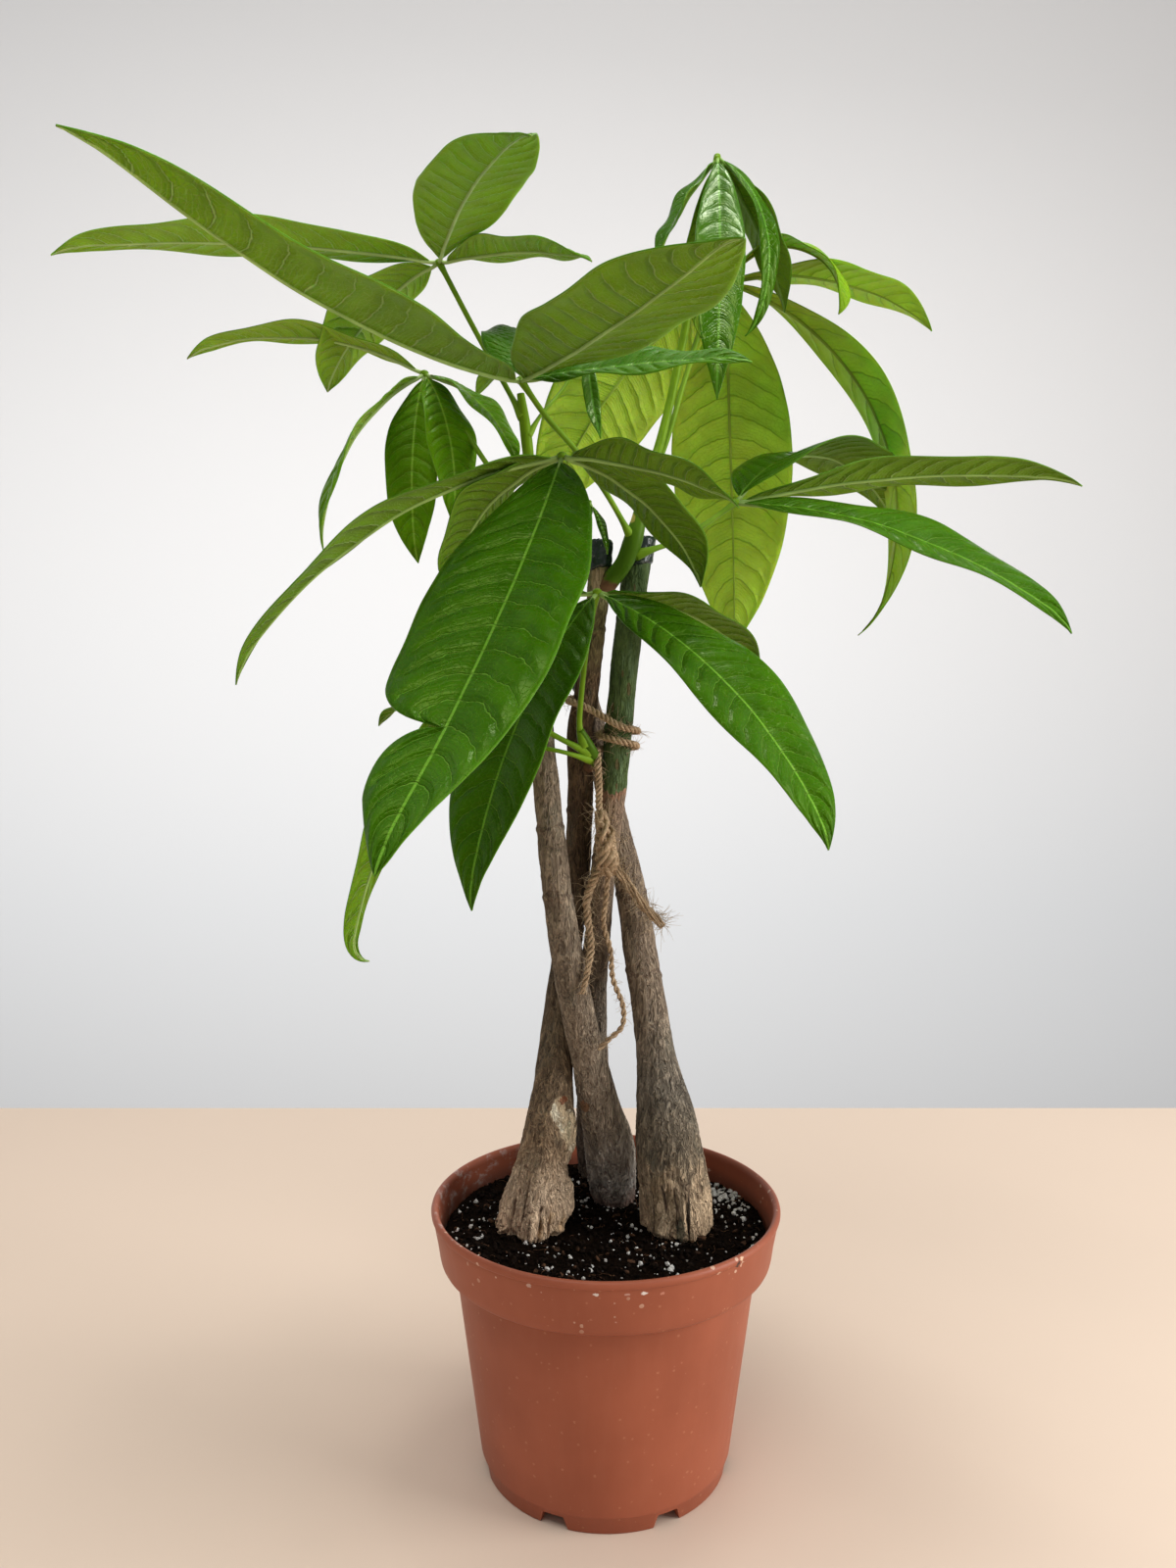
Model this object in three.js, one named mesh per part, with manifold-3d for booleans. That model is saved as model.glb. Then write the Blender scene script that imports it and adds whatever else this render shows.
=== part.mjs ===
// A potted money tree: four young canes tied together in a round plastic nursery pot, with
// hand-shaped leaves of lance-shaped leaflets on green shoots.
// Millimetres, +Z up. The origin is the middle of the pot's foot, and the front is towards -Y.

import * as THREE from 'three';
import { mergeVertices } from 'three/addons/utils/BufferGeometryUtils.js';
import Module from 'manifold-3d';

const wasm = await Module();
wasm.setup();

// Clearance kept between pieces that touch.
const GAP = 0.3;

// The pot: a 15 cm nursery pot with a wide collar, a recessed foot ring and a flat pad under the
// middle of its raised floor, level with the ring.
const POT = {
  height: 115,
  rimRadius: 75,
  wall: 1.6,
  footRadius: 53.4,
  footHeight: 7.4,
  footRecess: 0.9,
  floor: 6.5,
  padRadius: 9,
  taper: 0.128,
  collarBottom: 91,
  collarRadius: 71.2,
  collarTopRadius: 73.8,
  lip: 5,
  segments: 40,
  notches: 7,
  notchWidth: 13,
  notchHeight: 5.6,
  notchAngle: -62.6,
};

// The soil fills the pot to 12 mm below the rim.
const SOIL = { top: 103, unevenness: 0.9 };

// Each cane is a list of [height, x, y, radius] from below the soil to its cut top, and the swollen
// foot has shallow lobes that fade upwards. The rings are old leaf scars.
const CANES = {
  cane_left: {
    rows: [
      [48, -30, -2, 8], [96, -30.5, -3, 14], [104, -30, -2.5, 15.3], [118, -28.5, -1, 14],
      [132, -26.5, 1.5, 11.5], [148, -24.3, 5.5, 10], [168, -22.6, 11.8, 8], [190, -20.5, 15.5, 6.9],
      [215, -17.5, 17.5, 6.2], [250, -12.8, 15.5, 5.6], [295, -10.8, 9.5, 5.3], [316, -10.8, 7, 5.5],
      [340, -7.5, 4, 5], [368, -4, 3, 4.4], [396, -2.3, 3, 4.4],
    ],
    lobes: { count: 5, depth: 0.13, turn: 0.4 },
    rings: [228, 283, 352],
    color: '#7d6a55',
  },
  cane_middle: {
    rows: [
      [48, 5.5, 26, 6], [98, 5, 25, 8.5], [108, 4, 24, 9.8], [124, 2.8, 21, 11.2],
      [138, 1, 18, 10.4], [150, -2.4, 14, 9.2], [168, -6, 9, 7.9], [190, -10.5, 2, 7.3],
      [212, -14.7, -4, 6.9], [247, -20, -9, 6.2], [275, -23.2, -8, 5.6], [295, -25, -6, 5.2],
      [340, -29, 0, 4.9], [374, -31.4, 3.8, 4.6],
    ],
    lobes: { count: 3, depth: 0.05, turn: 1.1 },
    rings: [246, 276, 330],
    color: '#84735f',
  },
  cane_right: {
    rows: [
      [48, 31, -3, 8], [94, 31.5, -3, 13.4], [103, 31, -3, 14.2], [118, 30, -3, 14.4],
      [140, 27, -1.5, 13.6], [152, 26, 0, 12.4], [166, 23.6, 2, 10], [178, 21.7, 3, 8.4],
      [198, 18.9, 6, 7.5], [220, 15.4, 10, 7.2], [238, 12.9, 13, 6.8], [255, 9.5, 16, 6.3],
      [283, 3, 19, 5.6], [324, -6.5, 21, 5], [345, -11, 20, 4.7],
    ],
    lobes: { count: 6, depth: 0.07, turn: 0.2 },
    rings: [246, 300],
    color: '#8a7762',
  },
  cane_back: {
    rows: [
      [48, -2, 48, 6], [100, -2, 51.5, 8.5], [115, -2.5, 50, 9.8], [135, -3.5, 46, 8.8],
      [160, -5, 38, 7], [190, -5.5, 29, 6.2], [215, -4.3, 20, 5.6], [237, -2.6, 12, 5.3],
      [255, -1.2, 7, 5.2], [275, 1.2, 4.5, 5.2], [295, 3.6, 3.5, 5.4], [316, 5.2, 3.5, 5.7],
      [336, 6.9, 4, 5.7], [376, 11.6, 7, 5.6], [398, 14.8, 9, 5.5],
    ],
    lobes: { count: 4, depth: 0.06, turn: 0 },
    rings: [262, 318, 366],
    color: '#4f6b45',
  },
};
const CANE = { sides: 10, step: 16, lobeReach: 55, ringHeight: 0.5 };

// The cut tops are dipped in dark wax.
const WAX = { depth: 11, skin: 0.8 };

// Leaflets are [heading, rise, droop, sweep, length, width, roll, fold]. Heading is the compass angle in
// plan (0 right, 90 away, 180 left, 270 forward), rise is the slope at the base, droop is how much
// the slope falls and sweep how much the heading turns by the tip, and roll lifts the left edge. The
// fold along the midrib is left out where it is the usual one.
const LEAF = {
  stations: 7,
  narrow: 40,
  thickness: 0.9,
  ribThickness: 0.8,
  stalkLength: 4,
  stalkRadius: 1.2,
  tipRadius: 0.4,
  widestAt: 0.48,
  fullness: 1.75,
  fold: 0.25,
  curl: 0.12,
  wave: 1.1,
  waves: 2.5,
};
const STALK = { radius: 1.45, jointRadius: 2.1, sides: 5, hubRadius: 2.9 };

// Each leaf has its stalk's route, whose last point is the hub, and its leaflets.
const STEM_UPPER = {
  stem: {
    route: [
      [1, 1.5, 379], [7, -2, 386.5], [11, -3, 396], [13.5, -2, 405], [16, 0, 415], [18.6, 4, 424],
      [24, 10, 443], [30, 15, 469], [37, 18, 505], [43, 20, 537], [47, 20, 559],
    ],
    radii: [3.6, 3.7, 3.6, 3.4, 2.8, 2.5, 1.9, 1.8, 1.6, 1.5, 1.5],
  },
  leaves: {
    crown: {
      stalk: [[43, 20, 537], [45, 20, 549], [47, 20, 559]],
      leaflets: [
        [268, -52, 20, -8, 130, 24, 0], [207, -50, 16, 2, 58, 14, 0, 0.45], [334, -36, 87, 2, 86, 10, 30],
        [20, -48, 25, 0, 70, 26, 0], [112, -68, 22, 0, 74, 17, 0],
      ],
    },
    rightUpper: {
      stalk: [[16, 0, 415], [25.5, 14, 439], [33.5, 24, 466], [45, 38, 501], [54, 45, 516]],
      leaflets: [
        [172, -32, 38, 0, 132, 50, 70], [82, -40, 47, -8, 183, 60, 0], [18, -9, 113, -13, 205, 36, 0],
        [19, 18, 44, 4, 115, 32, 0], [349, 61, 160, -1, 76, 34, 15], [120, 0, 55, 0, 110, 42, 0],
      ],
    },
    forward: {
      stalk: [[11, -3, 396], [0, -16, 412.5], [-12, -28, 427], [-24, -36, 439], [-33, -40, 451]],
      leaflets: [
        [239, -7, -23, 4, 201, 46, -20, 0.5], [295, -3, -5, -4, 165, 50, 0],
        [91, 45, 26, 7, 70, 32, 0], [342, 5, 10, -4, 89, 22, 36],
      ],
    },
    right: {
      stalk: [[12, -2, 390], [18, -2.5, 392], [29, 4, 396.5], [42.5, 13, 405], [56, 20, 415]],
      leaflets: [
        [334, -5, 35, -1, 152, 38, 20], [41, 50, 95, -1, 128, 54, 0], [6, 14, 19, -1, 158, 32, -15],
      ],
    },
  },
};

const STEM_LEFT = {
  stem: {
    route: [
      [-30.5, 2, 351], [-36, 0.8, 356], [-40, 2, 364], [-40.8, 4.5, 374], [-38.5, 7, 386],
      [-35, 9, 399], [-32, 10, 411],
      [-32.6, 11, 430], [-34.5, 12, 448], [-36, 12, 459],
    ],
    radii: [2.8, 2.9, 2.8, 2.8, 2.7, 2.6, 2.5, 2.4, 2.3, 1.6],
  },
  leaves: {
    leftUpper: {
      stalk: [[-35, 12, 449], [-43, 17, 464], [-58, 25, 492], [-72, 30, 519]],
      leaflets: [
        [284, 5, 16, 9, 148, 39, 0], [193, 5, 15, 0, 158, 42, 0], [332, 2, 22, -6, 79, 32, 0],
        [158, -15, 47, -4, 80, 44, 0],
      ],
    },
    left: {
      stalk: [[-32, 10, 409], [-48.5, 22, 428], [-66, 36, 455], [-81, 45, 476]],
      leaflets: [
        [183, 29, 50, -3, 110, 30, 0], [223, -28, 57, 2, 104, 22, 20], [258, -55, 54, -1, 90, 25, 0],
        [306, -40, 60, 0, 78, 24, 0], [324, -16, 48, -2, 74, 20, 0],
      ],
    },
    front: {
      stalk: [[-35.5, 8.5, 396], [-28.5, -10, 409], [-22, -40, 416.5], [-17, -60, 419]],
      nick: { leaflet: 0, at: 0.7257, span: 0.06, side: -1 },
      leaflets: [
        [256, -44, -3, -10.4, 194, 54, 0], [189, -10, 49, -2, 149, 40, 0], [328, -8, 20, -5, 77, 26, -25],
        [25, -10, 52, 4, 78, 36, 0], [163, -13, 66, -2, 70, 36, 0],
      ],
    },
    behind: {
      stalk: [[-33, 11, 441], [-27.5, 15, 451], [-18, 26, 465], [-7.5, 40, 488]],
      leaflets: [[271, -60, -11, 15, 59, 12, 30], [165, 10, 60, 0, 60, 26, 0]],
    },
    bud: {
      stalk: [[-36, 8, 394], [-20, -4, 398.5], [-10.5, -16, 406.5], [-7, -20, 409]],
      leaflets: [[268, -21, 32, 0, 18, 7, 0], [296, -36, 35, -1, 28, 8, 0]],
    },
  },
};

const STEM_LOWER = {
  stem: {
    route: [[-11, 6, 301], [-7.5, -1, 304], [-9, -5, 309], [-11, -8, 318]],
    radii: [3.6, 3.4, 2.8, 1.8],
  },
  leaves: {
    rightLower: {
      stalk: [[-9, -6, 311], [-11, -8, 318], [-10, -11, 336], [-7.5, -16, 356], [-4, -24, 373]],
      leaflets: [
        [323, -21, 43, 2, 143, 43, 16], [16, 1, 47, 6, 82, 36, 0], [237, -33, 46, -8, 144, 42, 0],
        [178, 0, 45, 0, 76, 34, 0],
      ],
    },
    leftLower: {
      stalk: [[-9, -5, 309], [-20, -12, 315], [-30, -12, 321], [-44, -4, 332], [-57, 5, 340]],
      leaflets: [[165, -9, 32, -1, 49, 18, 0], [213, -49, 31, -2, 134, 20, 62, 0.4], [100, -10, 50, 0, 85, 34, 0]],
    },
    young: {
      stalk: [[-8, -4, 307], [-20, -13, 309.5], [-34, -12, 312], [-45, -6, 315]],
      leaflets: [[200, -10, 50, 0, 48, 18, 0], [290, -20, 40, 0, 40, 16, 0], [120, -10, 40, 0, 45, 18, 0]],
    },
  },
};

// Jute twine ties the canes. It goes once round the left and back canes and once more round the
// back one, then down to a knot with two tails. A thin strand hangs free below the knot.
const TWINE = {
  radius: 1.5,
  turns: [
    [-11.4, 12, 331], [-15.1, 8.9, 330.6], [-15.8, 2.8, 329.8], [-11.6, -1.5, 328.6],
    [-7.5, -1.9, 326.7], [0, -3.4, 322.5], [6.1, -4.6, 319.2], [11.6, -1.9, 317.8],
    [13.4, 4.2, 317], [10.6, 9.7, 316.8], [4.6, 11.6, 316.6], [-1, 9, 316.2], [-3, 3.7, 315.5],
    [-1, -1.9, 314.7], [4.5, -4.6, 313.4], [10.3, -2.7, 312], [13, 2.8, 310.8], [10.8, 8.8, 310],
    [5.5, 11.6, 309.5], [-0.4, 9.7, 309.2], [-3.3, 4.6, 309], [-3.6, -1.8, 308.2],
    [-3.4, -4.8, 303], [-3, -5.2, 295], [-3, -5.4, 286], [-2, -5.6, 278],
  ],
  knot: {
    route: [[-2.6, -5.6, 284], [-1.4, -5.8, 277], [0.3, -6, 269], [0.8, -5.9, 263], [0.6, -5.6, 257]],
    radii: [2.2, 3.6, 4.5, 4.3, 2.8],
  },
  tails: [
    {
      route: [
        [-1.5, -6, 262], [-5.5, -5.4, 254], [-8, -4.8, 247], [-7.8, -5, 239], [-6.4, -7.4, 228],
        [-7.6, -10.6, 218], [-10, -12.4, 208],
      ],
      radii: [2, 2, 1.9, 1.7, 1.6, 1.5, 1.2],
    },
    {
      route: [[2, -6, 262], [7, -5, 256], [12, -3, 248.5], [18, -1.5, 241], [24.4, -0.5, 234.2]],
      radii: [2, 1.9, 1.9, 2.1, 1.4],
    },
  ],
  strand: {
    radius: 1.2,
    route: [
      [0.7, -5.4, 256.2], [0, -4.8, 247], [-1, -4.2, 236], [1.8, -4, 225], [3, -3.6, 212],
      [7.3, -3.6, 200], [6.8, -3.8, 191.5], [1, -4.6, 186], [-3.2, -5.6, 182],
    ],
  },
};

const COLOURS = {
  pot: '#9a4f35',
  soil: '#1d1410',
  wax: '#16211b',
  leaf: '#3f8a1f',
  twine: '#b08d62',
};

const degrees = THREE.MathUtils.degToRad;

// Turns a closed mesh into a solid for joining and cutting.
function toSolid(geometry) {
  const bare = geometry.clone();
  bare.deleteAttribute('normal');
  bare.deleteAttribute('uv');
  const merged = mergeVertices(bare, 1e-4);
  return new wasm.Manifold(new wasm.Mesh({
    numProp: 3,
    vertProperties: new Float32Array(merged.attributes.position.array),
    triVerts: new Uint32Array(merged.index.array),
  }));
}

function toGeometry(solid) {
  const mesh = solid.getMesh();
  const geometry = new THREE.BufferGeometry();
  geometry.setAttribute('position', new THREE.BufferAttribute(mesh.vertProperties, 3));
  geometry.setIndex(new THREE.BufferAttribute(mesh.triVerts, 1));
  geometry.computeVertexNormals();
  return geometry;
}

function named(name, solid, color, roughness) {
  const material = new THREE.MeshStandardMaterial({ color, roughness, metalness: 0 });
  const mesh = new THREE.Mesh(toGeometry(solid), material);
  mesh.name = name;
  return mesh;
}

// A closed body through rings of points, each ring with the same number of points.
function loft(rings) {
  const count = rings[0].length;
  const points = rings.flat();
  const index = [];
  for (let ring = 0; ring < rings.length - 1; ring++) {
    for (let side = 0; side < count; side++) {
      const a = ring * count + side;
      const b = ring * count + ((side + 1) % count);
      index.push(a, b, b + count, a, b + count, a + count);
    }
  }
  for (const [ring, flip] of [[0, true], [rings.length - 1, false]]) {
    const middle = points.length;
    points.push(rings[ring].reduce((sum, p) => sum.add(p), new THREE.Vector3()).divideScalar(count));
    for (let side = 0; side < count; side++) {
      const a = ring * count + side;
      const b = ring * count + ((side + 1) % count);
      index.push(middle, flip ? b : a, flip ? a : b);
    }
  }
  const geometry = new THREE.BufferGeometry().setFromPoints(points);
  geometry.setIndex(index);
  return geometry;
}

// A round stalk along a smooth curve, with a radius for each of its points.
function stalkAlong(route, radii, sides) {
  const curve = new THREE.CatmullRomCurve3(route.map((p) => new THREE.Vector3(...p)));
  const girth = new THREE.CatmullRomCurve3(radii.map((r) => new THREE.Vector3(r, 0, 0)));
  const steps = (route.length - 1) * 2;
  const frames = curve.computeFrenetFrames(steps, false);
  const rings = [];
  for (let step = 0; step <= steps; step++) {
    const at = curve.getUtoTmapping(step / steps);
    const centre = curve.getPoint(at);
    const radius = girth.getPoint(at).x;
    const ring = [];
    for (let side = 0; side < sides; side++) {
      const angle = (side / sides) * 2 * Math.PI;
      ring.push(centre.clone()
        .addScaledVector(frames.normals[step], radius * Math.cos(angle))
        .addScaledVector(frames.binormals[step], radius * Math.sin(angle)));
    }
    rings.push(ring);
  }
  return loft(rings);
}

// One leaflet: a thin arched blade, folded a little along its midrib, with waved edges. Both faces
// are split into triangles alike.
function leafletBlade(hub, [heading, rise, droop, sweep, length, width, roll, fold], nick) {
  const stalkShare = LEAF.stalkLength / length;
  const stations = [0, stalkShare];
  for (let i = 1; i <= LEAF.stations; i++) {
    stations.push(stalkShare + (1 - stalkShare) * (i / LEAF.stations));
  }
  if (nick) {
    for (const offset of [-1, -0.45, -0.1, 0.1, 0.45, 1]) {
      stations.push(nick.at + offset * nick.span);
    }
    stations.sort((a, b) => a - b);
  }
  const halfWidth = (t) => {
    const x = Math.max(0, (t - stalkShare) / (1 - stalkShare));
    const m = LEAF.widestAt;
    const rising = (x / m) ** (LEAF.fullness * m);
    const falling = ((1 - x) / (1 - m)) ** (LEAF.fullness * (1 - m));
    const floor = THREE.MathUtils.lerp(LEAF.stalkRadius, LEAF.tipRadius, t);
    return Math.max(floor, 0.5 * width * rising * falling);
  };
  const nickFactor = (t, side) => {
    if (!nick || side * nick.side <= 0) return 1;
    return Math.min(1, 0.06 + (Math.abs(t - nick.at) / nick.span) ** 0.8);
  };
  const midrib = midribPoints(hub, stations, heading, rise, droop, sweep, length);
  const across = width < LEAF.narrow ? [-1, 0, 1] : [-1, -0.5, 0, 0.5, 1];
  const lean = fold ?? LEAF.fold;
  const top = [];
  const under = [];
  stations.forEach((t, i) => {
    const { point, side, up } = frameAt(midrib, i, heading + sweep * t, rise - droop * t, roll);
    for (const v of across) {
      const half = halfWidth(t) * nickFactor(t, v);
      const wave = LEAF.wave * Math.sin(2 * Math.PI * LEAF.waves * t + (v > 0 ? 0 : 2)) * v * v;
      const grown = Math.min(1, half / 6);
      const lift = half * (lean * Math.abs(v) - LEAF.curl * v * v) + wave * grown;
      const rib = v === 0 ? LEAF.ribThickness * (1 - t) : 0;
      const thick = 0.5 * LEAF.thickness + rib;
      const at = point.clone().addScaledVector(side, v * half);
      top.push(at.clone().addScaledVector(up, lift + 0.5 * thick));
      under.push(at.clone().addScaledVector(up, lift - thick));
    }
  });
  return skin(top, under, stations.length, across.length);
}

// The points of a midrib, whose slope falls and whose heading turns evenly from hub to tip.
function midribPoints(hub, stations, heading, rise, droop, sweep, length) {
  const steps = 60;
  const points = [new THREE.Vector3(...hub)];
  for (let i = 0; i < steps; i++) {
    const t = (i + 0.5) / steps;
    const direction = along(heading + sweep * t, rise - droop * t);
    points.push(points[i].clone().addScaledVector(direction, length / steps));
  }
  return stations.map((t) => {
    const at = Math.min(t * steps, steps - 1e-6);
    const low = Math.floor(at);
    return points[low].clone().lerp(points[low + 1], at - low);
  });
}

function along(heading, slope) {
  const h = degrees(heading);
  const s = degrees(slope);
  return new THREE.Vector3(Math.cos(s) * Math.cos(h), Math.cos(s) * Math.sin(h), Math.sin(s));
}

function frameAt(midrib, i, heading, slope, roll) {
  const forward = along(heading, slope);
  const level = new THREE.Vector3(-Math.sin(degrees(heading)), Math.cos(degrees(heading)), 0);
  const above = forward.clone().cross(level);
  const r = degrees(roll);
  const side = level.clone().multiplyScalar(Math.cos(r)).addScaledVector(above, Math.sin(r));
  const up = above.clone().multiplyScalar(Math.cos(r)).addScaledVector(level, -Math.sin(r));
  return { point: midrib[i], side, up };
}

// A closed body from two faces that are grids of the same size, with walls round their edges.
function skin(top, under, rows, columns) {
  const index = [];
  const base = top.length;
  const quad = (a, b, c, d) => index.push(a, b, c, a, c, d);
  for (let i = 0; i < rows - 1; i++) {
    for (let j = 0; j < columns - 1; j++) {
      const a = i * columns + j;
      const b = a + 1;
      const c = b + columns;
      const d = a + columns;
      index.push(a, d, c, a, c, b);
      index.push(base + a, base + c, base + d, base + a, base + b, base + c);
    }
    const right = i * columns;
    const left = right + columns - 1;
    quad(right, base + right, base + right + columns, right + columns);
    quad(left, left + columns, base + left + columns, base + left);
  }
  const last = (rows - 1) * columns;
  for (let j = 0; j < columns - 1; j++) {
    quad(j, j + 1, base + j + 1, base + j);
    quad(last + j, base + last + j, base + last + j + 1, last + j + 1);
  }
  const geometry = new THREE.BufferGeometry().setFromPoints([...top, ...under]);
  geometry.setIndex(index);
  return geometry;
}

// A shoot: its stem, leaf stalks and leaflets, grown together.
function leafyStem({ stem, leaves }) {
  const pieces = [toSolid(stalkAlong(stem.route, stem.radii, 8))];
  for (const leaf of Object.values(leaves)) {
    const radii = leaf.stalk.map((_, i) => (
      i === 0 || i === leaf.stalk.length - 1 ? STALK.jointRadius : STALK.radius
    ));
    const hub = leaf.stalk.at(-1);
    pieces.push(toSolid(stalkAlong(leaf.stalk, radii, STALK.sides)));
    const knot = new THREE.IcosahedronGeometry(STALK.hubRadius, 0);
    pieces.push(toSolid(knot.translate(...hub)));
    leaf.leaflets.forEach((leaflet, i) => {
      const nick = leaf.nick?.leaflet === i ? leaf.nick : null;
      pieces.push(toSolid(leafletBlade(hub, leaflet, nick)));
    });
  }
  return wasm.Manifold.union(pieces);
}

// Place and radius of a cane at a height. Above its top row it goes straight up.
function caneAt(cane, height) {
  const heights = cane.rows.map((row) => row[0]);
  const samples = cane.rows.flatMap((row) => row.slice(1));
  const track = new THREE.CubicInterpolant(heights, samples, 3, new Float32Array(3));
  const [x, y, radius] = track.evaluate(height);
  return { x, y, radius };
}

function ringRise(cane, height) {
  const near = Math.min(...cane.rings.map((ring) => Math.abs(ring - height)));
  return near < 2 ? CANE.ringHeight : 0;
}

// The body of a cane between two heights, grown outwards by a little where something fits round it.
function caneBody(cane, from, to, grow) {
  const heights = [from];
  for (let z = Math.ceil((from + 1) / CANE.step) * CANE.step; z < to - 2; z += CANE.step) {
    heights.push(z);
  }
  for (const ring of cane.rings) {
    if (ring > from + 4 && ring < to - 4) heights.push(ring - 2.5, ring, ring + 2.5);
  }
  heights.push(to);
  heights.sort((a, b) => a - b);
  const rings = heights.map((z) => {
    const { x, y, radius } = caneAt(cane, z);
    const reach = Math.max(0, 1 - Math.abs(z - SOIL.top) / CANE.lobeReach);
    const ring = [];
    for (let side = 0; side < CANE.sides; side++) {
      const angle = (side / CANE.sides) * 2 * Math.PI;
      const lobe = cane.lobes.depth * reach * Math.cos(cane.lobes.count * (angle + cane.lobes.turn));
      const r = radius * (1 + lobe) + ringRise(cane, z) + grow;
      ring.push(new THREE.Vector3(x + r * Math.cos(angle), y + r * Math.sin(angle), z));
    }
    return ring;
  });
  return toSolid(loft(rings));
}

const caneTop = (cane) => cane.rows.at(-1)[0];
const caneFoot = (cane) => cane.rows[0][0];

const potRadius = (z) => POT.footRadius + POT.taper * z;

function potBody() {
  const { wall, height, rimRadius, collarBottom, collarRadius, collarTopRadius, floor } = POT;
  const outline = [
    [0, 0],
    [POT.padRadius, 0],
    [POT.padRadius + 0.6, floor - wall],
    [POT.footRadius - 5, floor - wall],
    [POT.footRadius - 4.5, 0],
    [POT.footRadius - POT.footRecess, 0],
    [potRadius(POT.footHeight) - POT.footRecess, POT.footHeight],
    [potRadius(POT.footHeight + 0.8), POT.footHeight + 0.8],
    [potRadius(collarBottom), collarBottom],
    [collarRadius - 1.7, collarBottom],
    [collarRadius - 0.5, collarBottom + 0.5],
    [collarRadius, collarBottom + 1.7],
    [collarTopRadius, height - POT.lip - 1],
    [rimRadius, height - POT.lip + 0.8],
    [rimRadius, height - 1.2],
    [rimRadius - 0.9, height],
    [rimRadius - 2.2, height],
    [collarTopRadius - wall - 0.4, height - 2.4],
    [collarRadius - wall, collarBottom + 1.6],
    [potRadius(collarBottom) - wall, collarBottom + 1],
    [potRadius(floor) - wall, floor + 2],
    [potRadius(floor) - wall - 2, floor],
    [0, floor],
  ];
  const shape = outline.map(([r, z]) => new THREE.Vector2(r, z));
  let pot = toSolid(new THREE.LatheGeometry(shape, POT.segments).rotateX(Math.PI / 2));
  for (let i = 0; i < POT.notches; i++) {
    pot = pot.subtract(toSolid(notchCutter(POT.notchAngle + (i * 360) / POT.notches)));
  }
  return pot;
}

// A drainage notch: a tapered gap through the foot ring, open below.
function notchCutter(angle) {
  const half = 0.5 * POT.notchWidth;
  const gap = new THREE.Shape([
    new THREE.Vector2(-half, -1),
    new THREE.Vector2(half, -1),
    new THREE.Vector2(half - 2, POT.notchHeight),
    new THREE.Vector2(2 - half, POT.notchHeight),
  ]);
  const cutter = new THREE.ExtrudeGeometry(gap, { depth: 20, bevelEnabled: false });
  cutter.rotateX(Math.PI / 2).rotateZ(Math.PI / 2);
  cutter.translate(POT.footRadius - 10, 0, 0);
  return cutter.rotateZ(degrees(angle));
}

function soilBody() {
  const inside = (z) => potRadius(z) - POT.wall - GAP;
  const ledge = POT.collarBottom + 1.6 + GAP;
  const outline = [
    [0, POT.floor + GAP],
    [inside(POT.floor) - 2.2, POT.floor + GAP],
    [inside(POT.floor) - 0.1, POT.floor + 2 + GAP],
    [inside(POT.collarBottom) - 0.1, ledge],
    [POT.collarRadius - POT.wall - GAP - 0.1, ledge + 0.2],
    [POT.collarRadius - POT.wall + 0.4, SOIL.top - 1],
    [58, SOIL.top],
    [42, SOIL.top + 0.4],
    [24, SOIL.top + 0.4],
    [0, SOIL.top + 0.6],
  ];
  const shape = outline.map(([r, z]) => new THREE.Vector2(r, z));
  const body = new THREE.LatheGeometry(shape, 30).rotateX(Math.PI / 2);
  const place = body.attributes.position;
  for (let i = 0; i < place.count; i++) {
    const x = place.getX(i);
    const y = place.getY(i);
    const onTop = place.getZ(i) > SOIL.top - 0.5 && Math.hypot(x, y) > 1;
    const bump = SOIL.unevenness * Math.sin(0.21 * x + 1) * Math.cos(0.17 * y + 0.5);
    if (onTop) place.setZ(i, place.getZ(i) + bump);
  }
  const holes = Object.values(CANES).map((cane) => caneBody(cane, caneFoot(cane) - GAP, 150, GAP));
  return toSolid(body).subtract(wasm.Manifold.union(holes));
}

// A round tube of one thickness along a smooth route.
function tube(route, radius, steps) {
  const section = new THREE.Shape();
  section.absarc(0, 0, radius, 0, 2 * Math.PI);
  const path = new THREE.CatmullRomCurve3(route.map((p) => new THREE.Vector3(...p)));
  return new THREE.ExtrudeGeometry(section, {
    steps,
    curveSegments: 4,
    bevelEnabled: false,
    extrudePath: path,
  });
}

function twineBody() {
  const pieces = [tube(TWINE.turns, TWINE.radius, 50), stalkAlong(TWINE.knot.route, TWINE.knot.radii, 8)];
  for (const { route, radii } of TWINE.tails) {
    pieces.push(stalkAlong(route, radii, 6));
  }
  return wasm.Manifold.union(pieces.map(toSolid));
}

const plant = new THREE.Group();
plant.name = 'potted_money_tree';
plant.add(named('pot', potBody(), COLOURS.pot, 0.55));
plant.add(named('soil', soilBody(), COLOURS.soil, 0.95));

for (const [name, cane] of Object.entries(CANES)) {
  plant.add(named(name, caneBody(cane, caneFoot(cane), caneTop(cane), 0), cane.color, 0.85));
  const waxFrom = caneTop(cane) - WAX.depth;
  const core = caneBody(cane, waxFrom - 5, caneTop(cane) + GAP, GAP);
  const dip = caneBody(cane, waxFrom, caneTop(cane) + GAP + WAX.skin, GAP + WAX.skin);
  plant.add(named(name.replace('cane', 'wax_cap'), dip.subtract(core), COLOURS.wax, 0.35));
}

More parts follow.
